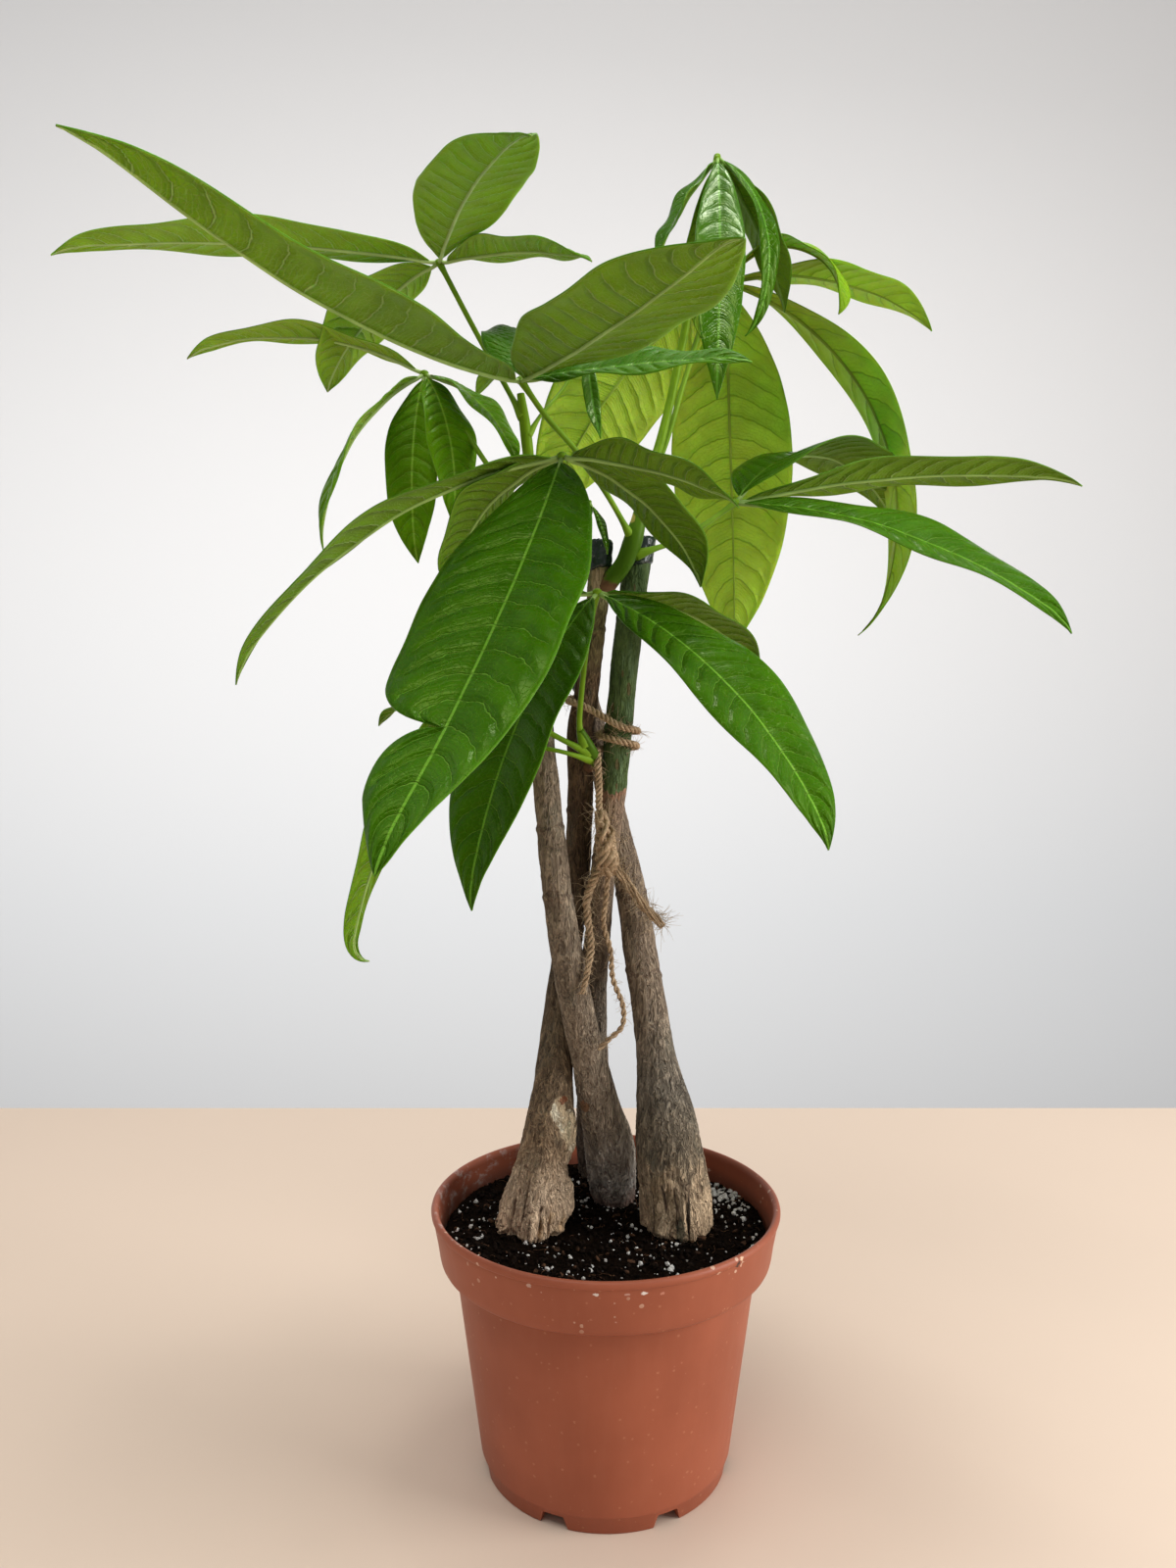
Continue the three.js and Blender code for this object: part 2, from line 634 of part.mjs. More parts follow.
// A shoot is cut back where it grows from its cane, so that the two meet with a thin gap.
const SHOOTS = {
  shoot_upper: { form: STEM_UPPER, from: ['cane_left'] },
  shoot_left: { form: STEM_LEFT, from: ['cane_middle'] },
  shoot_lower: { form: STEM_LOWER, from: ['cane_left'] },
};
for (const [name, shoot] of Object.entries(SHOOTS)) {
  const canes = shoot.from.map((name) => CANES[name]).flatMap((cane) => {
    const waxFrom = caneTop(cane) - WAX.depth - GAP;
    return [
      caneBody(cane, caneFoot(cane), waxFrom, GAP),
      caneBody(cane, waxFrom, caneTop(cane) + 2, 2 * GAP + WAX.skin),
    ];
  });
  const grown = leafyStem(shoot.form).subtract(wasm.Manifold.union(canes));
  plant.add(named(name, grown, COLOURS.leaf, 0.45));
}

plant.add(named('twine', twineBody(), COLOURS.twine, 0.9));
const strand = tube(TWINE.strand.route, TWINE.strand.radius, 22);
plant.add(named('twine_end', toSolid(strand), COLOURS.twine, 0.9));

export default plant;
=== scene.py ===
import math
import random
from functools import reduce

import bmesh
import bpy
from mathutils import Matrix, Vector, noise


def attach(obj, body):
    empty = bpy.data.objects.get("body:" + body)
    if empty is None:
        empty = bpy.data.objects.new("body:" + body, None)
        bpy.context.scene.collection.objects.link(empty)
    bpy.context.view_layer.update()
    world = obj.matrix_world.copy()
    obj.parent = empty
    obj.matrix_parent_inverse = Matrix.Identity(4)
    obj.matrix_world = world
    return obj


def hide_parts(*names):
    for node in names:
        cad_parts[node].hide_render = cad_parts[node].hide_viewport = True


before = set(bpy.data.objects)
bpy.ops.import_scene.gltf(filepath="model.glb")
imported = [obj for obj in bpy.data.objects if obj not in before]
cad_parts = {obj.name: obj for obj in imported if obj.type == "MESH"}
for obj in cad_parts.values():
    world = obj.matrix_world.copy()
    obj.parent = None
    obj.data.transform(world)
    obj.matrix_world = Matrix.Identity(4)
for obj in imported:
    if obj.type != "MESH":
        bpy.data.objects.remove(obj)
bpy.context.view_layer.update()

# A young money tree in a nursery pot. Sizes and places are typed in millimetres in the CAD's frame
# and turned into metres where the meshes are made.
MM = 0.001

# Noise in three directions starts from the clock unless it has a seed.
noise.seed_set(1)


# Camera, light and stage

CAMERA_TILT = 4.4

scene = bpy.context.scene
scene.view_settings.view_transform = "Standard"
scene.view_settings.look = "None"

camera_data = bpy.data.cameras.new("camera")
camera_data.sensor_fit = "VERTICAL"
camera_data.sensor_height = 36
camera_data.lens = 27.05
camera = bpy.data.objects.new("camera", camera_data)
camera.location = (-0.0076, -0.496, 0.333)
camera.rotation_euler = (math.radians(90 - CAMERA_TILT), 0, 0)
scene.collection.objects.link(camera)
scene.camera = camera


def plain_material(name, colour, roughness):
    material = bpy.data.materials.new(name)
    material.use_nodes = True
    shader = material.node_tree.nodes["Principled BSDF"]
    shader.inputs["Base Color"].default_value = (*colour, 1)
    shader.inputs["Roughness"].default_value = roughness
    return material


def stage_sheet(name, material, place):
    bm = bmesh.new()
    bmesh.ops.create_grid(bm, x_segments=1, y_segments=1, size=1, matrix=place)
    mesh = bpy.data.meshes.new(name)
    bm.to_mesh(mesh)
    bm.free()
    mesh.materials.append(material)
    sheet = bpy.data.objects.new(name, mesh)
    scene.collection.objects.link(sheet)


stage_sheet("table", plain_material("pale_table", (0.7, 0.555, 0.435), 0.75),
            Matrix.Translation((0, -0.58, 0)) @ Matrix.Diagonal((3, 1.01, 1, 1)))
stage_sheet("wall", plain_material("white_wall", (0.76, 0.76, 0.76), 0.9),
            Matrix.Translation((0, 1.3, 0.7)) @ Matrix.Rotation(math.radians(90), 4, "X")
            @ Matrix.Diagonal((4, 1.6, 1, 1)))

world = bpy.data.worlds.new("soft_daylight")
world.use_nodes = True
background = world.node_tree.nodes["Background"].inputs
background["Color"].default_value = (0.97, 0.98, 1, 1)
background["Strength"].default_value = 0.35
scene.world = world


def soft_light(name, place, target, size, power):
    data = bpy.data.lights.new(name, "AREA")
    data.shape = "RECTANGLE"
    data.size, data.size_y = size
    data.energy = power
    light = bpy.data.objects.new(name, data)
    light.location = place
    light.rotation_euler = (Vector(target) - Vector(place)).to_track_quat("-Z", "Y").to_euler()
    scene.collection.objects.link(light)


soft_light("window", (1.35, -0.35, 0.68), (0, 0, 0.3), (0.8, 0.9), 18)
soft_light("overhead", (-0.35, -0.75, 2.0), (-0.3, -0.7, 0), (1.2, 0.8), 21)
soft_light("skylight", (0.14, 0.12, 1.4), (0.04, 0, 0.4), (0.4, 0.26), 5)
soft_light("wall_wash", (-0.6, 0.46, 0.42), (-0.6, 1.3, 0.42), (2.0, 1.0), 6.5)


# Shapes

def clamped(value):
    return max(0, min(1, value))


def polar(radius, angle):
    return radius * math.cos(angle), radius * math.sin(angle)


def ring_noise(angle, wide, high):
    """Noise that closes on itself round a stem or a cane."""
    return noise.noise(Vector((*polar(wide, angle), high)))


def blend(first, second, low, high, at):
    """The row at a place between two rows, of which one lies at low and the other at high."""
    share = (at - low) / max(high - low, 1e-9)
    return [a + (b - a) * share for a, b in zip(first, second)]


def smooth_rows(rows, step, finest=14):
    """Spreads rows of numbers, whose first three are a place, every step along a smooth curve."""
    rows = [list(row) for row in rows]
    first = [2 * a - b for a, b in zip(rows[0], rows[1])]
    last = [2 * a - b for a, b in zip(rows[-1], rows[-2])]
    padded = [first, *rows, last]
    dense = []
    for i in range(len(rows) - 1):
        p = padded[i:i + 4]
        t = [0.0]
        for a, b in zip(p, p[1:]):
            t.append(t[-1] + max(math.dist(a[:3], b[:3]), 1e-6) ** 0.5)
        for k in range(finest):
            s = t[1] + (t[2] - t[1]) * k / finest
            a1, a2, a3 = (blend(p[j], p[j + 1], t[j], t[j + 1], s) for j in range(3))
            b1, b2 = blend(a1, a2, t[0], t[2], s), blend(a2, a3, t[1], t[3], s)
            dense.append(blend(b1, b2, t[1], t[2], s))
    dense.append(rows[-1])
    lengths = [0.0]
    for a, b in zip(dense, dense[1:]):
        lengths.append(lengths[-1] + math.dist(a[:3], b[:3]))
    count = max(2, round(lengths[-1] / step))
    spread = []
    k = 0
    for i in range(count + 1):
        want = lengths[-1] * i / count
        while k < len(dense) - 2 and lengths[k + 1] < want:
            k += 1
        spread.append(blend(dense[k], dense[k + 1], lengths[k], lengths[k + 1], want))
    return spread


def framed_line(rows, step):
    """A smooth line along rows, its points, and a forward, a sideways and an upward direction at each
    of them, which twist as little as can be."""
    line = smooth_rows(rows, step)
    points = [Vector(row[:3]) for row in line]
    frames = []
    side = None
    for i in range(len(points)):
        ahead = (points[min(i + 1, len(points) - 1)] - points[max(i - 1, 0)]).normalized()
        if side is None:
            side = ahead.orthogonal()
        side = (side - ahead * side.dot(ahead)).normalized()
        frames.append((ahead, side, ahead.cross(side)))
    return line, points, frames


def shaped_grid(bm, columns, rows, place, marks=None, material=0, rolled=False):
    """A grid whose points are moved by place(u, v). A rolled one is joined along its sides."""
    verts = bmesh.ops.create_grid(bm, x_segments=columns, y_segments=rows, size=0.5)["verts"]
    spots = {vert: (vert.co.x + 0.5, vert.co.y + 0.5) for vert in verts}
    faces = list(dict.fromkeys(face for vert in verts for face in vert.link_faces))
    for face in faces:
        face.material_index = material
        face.smooth = True
    for name, mark in (marks or {}).items():
        layer = bm.loops.layers.uv[name]
        marked = {vert: mark(*spots[vert]) for vert in verts}
        for face in faces:
            for loop in face.loops:
                loop[layer].uv = marked[loop.vert]
    for vert, (u, v) in spots.items():
        vert.co = place(u, v)
    if rolled:
        seam = [vert for vert, (u, v) in spots.items() if u < 1e-6 or u > 1 - 1e-6]
        bmesh.ops.remove_doubles(bm, verts=seam, dist=1e-7)
    return [face for face in faces if face.is_valid]


def close_ends(bm, faces):
    """Caps the open ends of a tube."""
    open_edges = list(dict.fromkeys(
        edge for face in faces for edge in face.edges if edge.is_boundary))
    for cap in bmesh.ops.edgeloop_fill(bm, edges=open_edges)["faces"]:
        cap.material_index = faces[0].material_index


def tube(bm, rows, sides, step, marks=None, material=0, bulge=None):
    """A round tube along rows of [x, y, z, radius] in millimetres."""
    line, points, frames = framed_line(rows, step)
    count = len(line) - 1

    def place(u, v):
        i = min(count, round(v * count))
        angle = math.tau * (u % 1)
        _, side, up = frames[i]
        radius = line[i][3] * (bulge(angle, v) if bulge else 1)
        return (points[i] + radius * (math.cos(angle) * side + math.sin(angle) * up)) * MM

    close_ends(bm, shaped_grid(bm, sides, count, place, marks, material, rolled=True))


def new_mesh(*layers):
    bm = bmesh.new()
    for layer in layers:
        bm.loops.layers.uv.new(layer)
    return bm


def new_piece(name, bm, materials, *nodes):
    mesh = bpy.data.meshes.new(name)
    bm.to_mesh(mesh)
    bm.free()
    for material in materials:
        mesh.materials.append(material)
    piece = bpy.data.objects.new(name, mesh)
    scene.collection.objects.link(piece)
    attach(piece, "root")
    if nodes:
        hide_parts(*nodes)
    return piece


# Node helpers

class Sheet:
    """A node tree that is written to from left to right."""

    def __init__(self, tree):
        self.tree = tree

    def feed(self, socket, value):
        if isinstance(value, Value):
            self.tree.links.new(value.socket, socket)
        elif socket.type == "RGBA" and len(value) == 3:
            socket.default_value = (*value, 1)
        else:
            socket.default_value = value

    def node(self, kind, inputs=(), **settings):
        """The outputs of a new node by number and by name. Its inputs are fed in the same way."""
        node = self.tree.nodes.new(kind)
        for key, value in settings.items():
            setattr(node, key, value)
        for key, value in dict(inputs).items():
            self.feed(node.inputs[key], value)
        return {key: Value(self, socket) for i, socket in enumerate(node.outputs) for key in (i, socket.name)}

    def math(self, operation, *values):
        return self.node("ShaderNodeMath", enumerate(values), operation=operation)[0]

    def mix(self, share, first, second, blend="MIX"):
        inputs = {0: share, 6: first, 7: second}
        return self.node("ShaderNodeMix", inputs, data_type="RGBA", blend_type=blend)[2]

    def cells(self, place, scale, feature="F1"):
        return self.node("ShaderNodeTexVoronoi", {"Vector": place, "Scale": scale}, feature=feature)

    def mark(self, layer):
        """What a mesh layer of marks holds."""
        return self.node("ShaderNodeUVMap", uv_map=layer)[0]

    def group(self, shared, **values):
        return self.node("ShaderNodeGroup", values, node_tree=shared)


class MaterialSheet(Sheet):
    """The nodes of a new material, with the place on the object."""

    def __init__(self, name, roughness, specular):
        self.material = bpy.data.materials.new(name)
        self.material.use_nodes = True
        super().__init__(self.material.node_tree)
        self.shader = self.tree.nodes["Principled BSDF"].inputs
        self.shader["Roughness"].default_value = roughness
        self.shader["Specular IOR Level"].default_value = specular
        self.place = self.node("ShaderNodeTexCoord")["Object"]

    def finished(self, colour, height, strength, depth, **more):
        """The material with its colour, the bumps that a height makes, and more inputs."""
        inputs = {"Height": height, "Strength": strength, "Distance": depth}
        more.update(base_color=colour, normal=self.node("ShaderNodeBump", inputs)[0])
        for key, value in more.items():
            self.feed(self.shader[key.replace("_", " ").title()], value)
        return self.material


class Value:
    """A number, a place or a colour that comes out of a node. Sums with it add nodes to its sheet."""

    def __init__(self, sheet, socket):
        self.sheet = sheet
        self.socket = socket

    def __add__(self, other):
        return self.sheet.math("ADD", self, other)

    def __sub__(self, other):
        return self.sheet.math("SUBTRACT", self, other)

    def __rsub__(self, other):
        return self.sheet.math("SUBTRACT", other, self)

    def __mul__(self, other):
        return self.sheet.math("MULTIPLY", self, other)

    def __pow__(self, other):
        return self.sheet.math("POWER", self, other)

    def __abs__(self):
        return self.sheet.math("ABSOLUTE", self)

    def joined(self, other):
        """The higher of two masks."""
        return self.sheet.math("MAXIMUM", self, other)

    def strayed(self, rough, reach):
        """The number, moved up and down by a noise, by up to half the reach."""
        return self + (rough - 0.5) * reach

    def between(self, low, high, smooth=True):
        """Rises from 0 at low to 1 at high, or falls where low is the higher number."""
        inputs = {"Value": self, "From Min": low, "From Max": high}
        kind = "SMOOTHSTEP" if smooth else "LINEAR"
        return self.sheet.node("ShaderNodeMapRange", inputs, clamp=True, interpolation_type=kind)[0]

    def mix(self, first, second):
        """The first colour where the number is 0, and the second where it is 1."""
        return self.sheet.mix(self, first, second)

    def painted(self, tint, mask, blend="MIX"):
        """The colour, with a tint laid over it where a mask is."""
        return self.sheet.mix(mask, self, tint, blend)

    def ramp(self, stops):
        """Colours that change with the number, from stop to stop."""
        node = self.sheet.tree.nodes.new("ShaderNodeValToRGB")
        elements = node.color_ramp.elements
        while len(elements) < len(stops):
            elements.new(0.5)
        for element, (at, colour) in zip(elements, stops):
            element.position = at
            element.color = (*colour, 1)
        self.sheet.feed(node.inputs[0], self)
        return Value(self.sheet, node.outputs[0])

    def parts(self):
        made = self.sheet.node("ShaderNodeSeparateXYZ", {0: self})
        return made[0], made[1], made[2]

    def stretched(self, upright, move=(0, 0, 0)):
        """The place, moved and with its height scaled."""
        inputs = {"Vector": self, "Location": move, "Scale": (1, 1, upright)}
        return self.sheet.node("ShaderNodeMapping", inputs)[0]

    def noise(self, scale, detail=3, roughness=0.5, output=0):
        inputs = {"Vector": self, "Scale": scale, "Detail": detail, "Roughness": roughness}
        return self.sheet.node("ShaderNodeTexNoise", inputs)[output]

    def spot(self, centre, size, ragged=0.35):
        """A ragged spot round a centre, with its half sizes in millimetres."""
        inputs = {"Vector": self, "Location": Vector(centre) * MM, "Scale": Vector(size) * MM}
        scaled_place = self.sheet.node("ShaderNodeMapping", inputs, vector_type="TEXTURE")[0]
        far = self.sheet.node("ShaderNodeVectorMath", {0: scaled_place}, operation="LENGTH")["Value"]
        rough = self.noise(max(330, 1300 / size[0]), 4, 0.65)
        return far.strayed(rough, 4 * ragged).between(1.1, 0.85)

    def dusted(self, scale, share):
        """A mask of scattered dust."""
        return self.sheet.group(DUST, Place=self, Scale=scale, Share=share)["Mask"]


def scaled(colour, share):
    return tuple(share * part for part in colour)


def spotted(colour, place, marks, patterns=None):
    """Paints marks over a colour: centre, half sizes, raggedness, strength, colour, and sometimes the
    name of a pattern that breaks the mark up."""
    for centre, size, ragged, strength, tint, *broken in marks:
        mask = place.spot(centre, size, ragged)
        for name in broken:
            mask = mask * patterns[name]
        colour = colour.painted(tint, mask * strength)
    return colour


# Shared surface patterns

def shared_group(name, inputs, pattern):
    """A node group whose outputs are what a pattern makes of its inputs."""
    tree = bpy.data.node_groups.new(name, "ShaderNodeTree")
    for label, value in inputs.items():
        kind = "NodeSocketVector" if isinstance(value, tuple) else "NodeSocketFloat"
        socket = tree.interface.new_socket(name=label, in_out="INPUT", socket_type=kind)
        socket.default_value = value
    sheet = Sheet(tree)
    made = pattern(sheet, sheet.node("NodeGroupInput"))
    for label in made:
        tree.interface.new_socket(name=label, in_out="OUTPUT", socket_type="NodeSocketFloat")
    sheet.node("NodeGroupOutput", made)
    return tree


def dust_pattern(sheet, given):
    """Scattered grains of dust of many sizes."""
    cells = sheet.cells(given["Place"], given["Scale"])
    chance = cells["Color"].parts()[0]
    size = chance.between(1 - given["Share"], 1.0, smooth=False) * 0.42
    return {"Mask": sheet.math("LESS_THAN", cells["Distance"], size)}


def bark_pattern(sheet, given):
    """A net of wavy upright ridges, dark cracks between them, broad patches and loose flakes."""
    place, grain = given["Place"], given["Grain"]
    bend = place.stretched(0.45).noise(230, 2, output="Color")
    inputs = {0: bend, 1: (0.005, 0.005, 0.002), 2: place.stretched(0.2)}
    bent = sheet.node("ShaderNodeVectorMath", inputs, operation="MULTIPLY_ADD")[0]

    def net(fineness, sharpness, move=(0, 0, 0)):
        rise = bent.stretched(1, move).noise(grain * fineness, 2)
        return abs(rise - 0.5).between(sharpness, 0.0)

    return {
        "Ridge": net(0.36, 0.07).joined(net(0.8, 0.1) * 0.6),
        "Crack": net(0.27, 0.05, (0.03, 0.05, 0.01)),
        "Patch": place.noise(grain * 0.09).between(0.38, 0.62),
        "Flake": bent.noise(grain * 0.2, 5, 0.7).between(0.46, 0.58),
    }


def vein_pattern(sheet, given):
    """The veins of a leaflet. The "veins" marks hold the side vein's number and the share across, and
    the "span" marks hold centimetres along and across."""
    number, across, _ = sheet.mark("veins").parts()
    span = sheet.mark("span")
    number = number.strayed(span.noise(1.1), 0.5)
    out = abs(across)
    fade = out.between(0.95, 0.7)
    apart = sheet.math("PINGPONG", number, 0.5)
    finely_apart = sheet.math("PINGPONG", number * 6, 0.5)
    return {
        "Vein": apart.between(given["Width"], given["Width"] * 0.2) * fade,
        "Fine": finely_apart.between(0.22, 0.02) * out.between(0.8, 0.05),
        "Net": sheet.cells(span, 4.5, "DISTANCE_TO_EDGE")["Distance"].between(0.06, 0.01),
        "Margin": out.between(0.965, 0.995),
        "Blotch": span.noise(0.7, 4).between(0.35, 0.65),
        "Midrib": abs(span.parts()[1]).between(0.06, 0.03),
        "Swell": apart.between(0.0, 0.3) * fade,
    }


DUST = shared_group("scattered_dust", {"Place": (0, 0, 0), "Scale": 400.0, "Share": 0.2}, dust_pattern)
BARK = shared_group("upright_bark", {"Place": (0, 0, 0), "Grain": 900.0}, bark_pattern)
VEINS = shared_group("leaf_veins", {"Width": 0.04}, vein_pattern)


# Twine

TWINE_TURNS = [
    (-11.4, 12, 331), (-15.1, 8.9, 330.6), (-15.8, 2.8, 329.8), (-11.6, -1.5, 328.6),
    (-7.5, -1.9, 326.7), (0, -3.4, 322.5), (6.1, -4.6, 319.2), (11.6, -1.9, 317.8),
    (13.4, 4.2, 317), (10.6, 9.7, 316.8), (4.6, 11.6, 316.6), (-1, 9, 316.2), (-3, 3.7, 315.5),
    (-1, -1.9, 314.7), (4.5, -4.6, 313.4), (10.3, -2.7, 312), (13, 2.8, 310.8), (10.8, 8.8, 310),
    (5.5, 11.6, 309.5), (-0.4, 9.7, 309.2), (-3.3, 4.6, 309), (-3.6, -1.8, 308.2),
    (-3.4, -4.8, 303), (-3, -5.2, 295), (-3, -5.4, 286), (-2, -5.6, 278),
]
TWINE_KNOT = [
    (-2.6, -5.6, 284, 2.2), (-1.4, -5.8, 277, 3.6), (0.3, -6, 269, 4.5), (0.8, -5.9, 263, 4.3),
    (0.6, -5.6, 257, 2.8),
]
TWINE_TAILS = [
    [(-1.5, -6, 262, 2), (-5.5, -5.4, 254, 2), (-8, -4.8, 247, 1.9), (-7.8, -5, 239, 1.7),
     (-6.4, -7.4, 228, 1.6), (-7.6, -10.6, 218, 1.5), (-10, -12.4, 208, 1.2)],
    [(2, -6, 262, 2), (7, -5, 256, 1.9), (12, -3, 248.5, 1.9), (18, -1.5, 241, 2.1),
     (24.4, -0.5, 234.2, 1.6)],
]
TWINE_STRAND = [
    (0.7, -5.4, 256.2), (0, -4.8, 247), (-1, -4.2, 236), (1.8, -4, 225), (3, -3.6, 212),
    (7.3, -3.6, 200), (6.8, -3.8, 191.5), (1, -4.6, 186), (-3.2, -5.6, 182),
]


def jute_material(name, light, dark):
    sheet = MaterialSheet(name, 0.95, 0.1)
    across, along, _ = sheet.mark("lay").parts()
    slanted = sheet.node("ShaderNodeCombineXYZ", {0: across * 9 + along * 1.6, 1: along * 0.35})[0]
    fibres = slanted.noise(2.4, 4, 0.6)
    colour = fibres.between(0.32, 0.68).mix(dark, light)
    colour = colour.painted(dark, sheet.place.noise(160).between(0.4, 0.65) * 0.4)
    return sheet.finished(colour, fibres, 0.9, 0.0004)


def twisted(bm, rows, plies, pitch, ply_share, step=0.6, phase=0.0, loose=0.0, seed=0):
    """Plies twisted round a line of [x, y, z, radius] rows."""
    line, points, frames = framed_line(rows, step)
    for ply in range(plies):
        wound = []
        for i, (_, side, up) in enumerate(frames):
            radius = line[i][3]
            angle = phase + math.tau * (ply / plies + i * step / pitch)
            stray = 1 + loose * noise.noise(Vector((i * step / 6, ply * 3.7, seed)))
            reach = radius * (1 - ply_share) * stray
            spot = points[i] + reach * (math.cos(angle) * side + math.sin(angle) * up)
            wound.append((*spot, radius * ply_share))
        marks = {"lay": lambda u, v, n=len(wound): (u + ply, v * n * step)}
        tube(bm, wound, 8, step, marks)


def hairs(bm, rows, count, lengths, seed):
    """Loose fibres that stand out from the twine."""
    chance = random.Random(seed)
    line, points, frames = framed_line(rows, 0.8)
    for _ in range(count):
        i = chance.randrange(len(line))
        ahead, side, up = frames[i]
        angle = chance.uniform(0, math.tau)
        out = math.cos(angle) * side + math.sin(angle) * up
        way = (out + ahead * chance.uniform(-1.6, 1.6)).normalized()
        bend = Vector((chance.gauss(0, 0.4), chance.gauss(0, 0.4), chance.gauss(-0.1, 0.4)))
        spot = points[i] + out * line[i][3] * 0.8
        size = chance.uniform(*lengths)
        fibre = [(*spot, 0.09)]
        for k in range(3):
            spot = spot + way * size / 3
            way = (way + bend * 0.6).normalized()
            fibre.append((*spot, 0.085 - 0.02 * k))
        tube(bm, fibre, 3, size / 3.5, {"lay": lambda u, v: (u, v)})


def with_radius(points, radius):
    return [(*point, radius) for point in points]


JUTE = jute_material("jute", (0.72, 0.54, 0.35), (0.22, 0.135, 0.072))
LOOSE_JUTE = jute_material("loose_jute", (0.78, 0.62, 0.42), (0.5, 0.36, 0.22))
bm = new_mesh("lay")
twisted(bm, with_radius(TWINE_STRAND, 1.25), 2, 7, 0.5, seed=6)
strand = new_piece("loose_strand", bm, [JUTE], "twine_end")
strand_path = [Vector(row[:3]) * MM for row in smooth_rows(with_radius(TWINE_STRAND, 1), 3)]

bm = new_mesh("lay")
twisted(bm, with_radius(TWINE_TURNS, 1.6), 3, 6.5, 0.42, seed=1)
twisted(bm, TWINE_KNOT, 4, 24, 0.34, step=0.7, loose=0.5, seed=2)
twisted(bm, TWINE_KNOT, 4, -26, 0.32, step=0.7, phase=0.6, loose=0.7, seed=3)
twisted(bm, TWINE_KNOT, 5, 40, 0.22, step=0.7, phase=0.3, loose=1.6, seed=7)
twisted(bm, TWINE_TAILS[0], 3, 8, 0.42, seed=4, loose=0.4)
twisted(bm, TWINE_TAILS[1], 8, 60, 0.24, seed=5, loose=0.8)
new_piece("tied_twine", bm, [JUTE], "twine")

bm = new_mesh("lay")
hairs(bm, with_radius(TWINE_TURNS, 1.5), 240, (1.5, 7), 31)
hairs(bm, TWINE_KNOT, 150, (2.5, 11), 32)
hairs(bm, TWINE_TAILS[0], 190, (1.5, 8), 33)
hairs(bm, TWINE_TAILS[1], 170, (2, 9), 34)
hairs(bm, [(18, -1.5, 241, 2), (24.4, -0.5, 234.2, 2)], 60, (4, 11), 36)
hairs(bm, with_radius(TWINE_STRAND, 1), 80, (1.5, 6), 35)
new_piece("twine_fuzz", bm, [LOOSE_JUTE])


# Pot

POT = {
    "height": 115, "rim": 75, "wall": 1.6, "foot": 53.4, "floor": 6.5, "pad": 9, "taper": 0.128,
    "collar": 91, "collar_low": 71.2, "collar_high": 73.8,
    "notches": 7, "notch_width": 13, "notch_height": 5.6, "first_notch": -62.6,
}

# Chips, smears and a dark speck on the collar, as spotted takes them
POT_MARKS = [
    ((-4.7, -74.3, 110), (1.2, 2, 0.6), 0.5, 0.9, (0.8, 0.72, 0.66)),
    ((13.5, -73.4, 110), (1.6, 2, 0.7), 0.5, 0.95, (0.85, 0.78, 0.72)),
    ((7, -74.2, 110), (1.2, 2, 0.5), 0.5, 0.5, (0.75, 0.5, 0.42)),
    ((-30, -68, 110.3), (1, 2, 0.8), 0.5, 0.6, (0.7, 0.5, 0.42)),
    ((3, -73.8, 98), (1.1, 2, 0.7), 0.5, 0.7, (0.75, 0.45, 0.36)),
    ((20.5, -72, 109), (1.2, 2, 0.7), 0.5, 0.5, (0.75, 0.35, 0.25)),
    ((50.6, -54.6, 112.3), (1.1, 1.4, 1.5), 0.5, 0.9, (0.03, 0.015, 0.01)),
    ((52, -53.4, 113.9), (0.9, 1.2, 0.7), 0.5, 0.8, (0.8, 0.55, 0.35)),
]


def wall_radius(z):
    return POT["foot"] + POT["taper"] * z


def pot_material():
    """Mottled plastic with dust and marks on the collar, and chalk inside it, where it grows darker down
    towards the soil.
    """
    sheet = MaterialSheet("terracotta_plastic", 0.5, 0.4)
    place = sheet.place
    streaks = place.stretched(0.12).noise(240)
    colour = place.noise(26, 4).between(0.3, 0.7).mix((0.32, 0.078, 0.034), (0.38, 0.098, 0.045))
    colour = colour.painted((0.43, 0.15, 0.085), streaks.between(0.4, 0.75) * 0.1)
    x, y, z = place.parts()
    on_collar = z.between(0.088, 0.1)
    upright = (x ** 2 + y ** 2) ** 0.5 - (z - 0.0927) * 0.16
    inside = upright.between(0.0707, 0.0701) * on_collar
    dust = place.dusted(400, 0.14) * on_collar * place.noise(45, 2).between(0.42, 0.56)
    colour = colour.painted((0.75, 0.5, 0.36), dust * 0.7)
    colour = colour.painted((0.62, 0.28, 0.15), place.dusted(620, 0.07) * 0.28)
    colour = spotted(colour, place, POT_MARKS)
    chalk = place.stretched(1.6).noise(130, 5, 0.7).between(0.5, 0.66) * x.between(-0.03, -0.06) * inside
    colour = colour.painted((0.6, 0.5, 0.46), chalk * 0.65)
    # Darker down the inside of the collar towards the soil.
    darker_low_inside = inside * z.between(0.109, 0.103)
    colour = colour.painted((0.07, 0.03, 0.02), darker_low_inside * 0.55)
    height = place.noise(900) * 0.25 + streaks * 0.4
    return sheet.finished(colour, height, 0.25, 0.0003, roughness=streaks * 0.16 + 0.42 + chalk * 0.3)


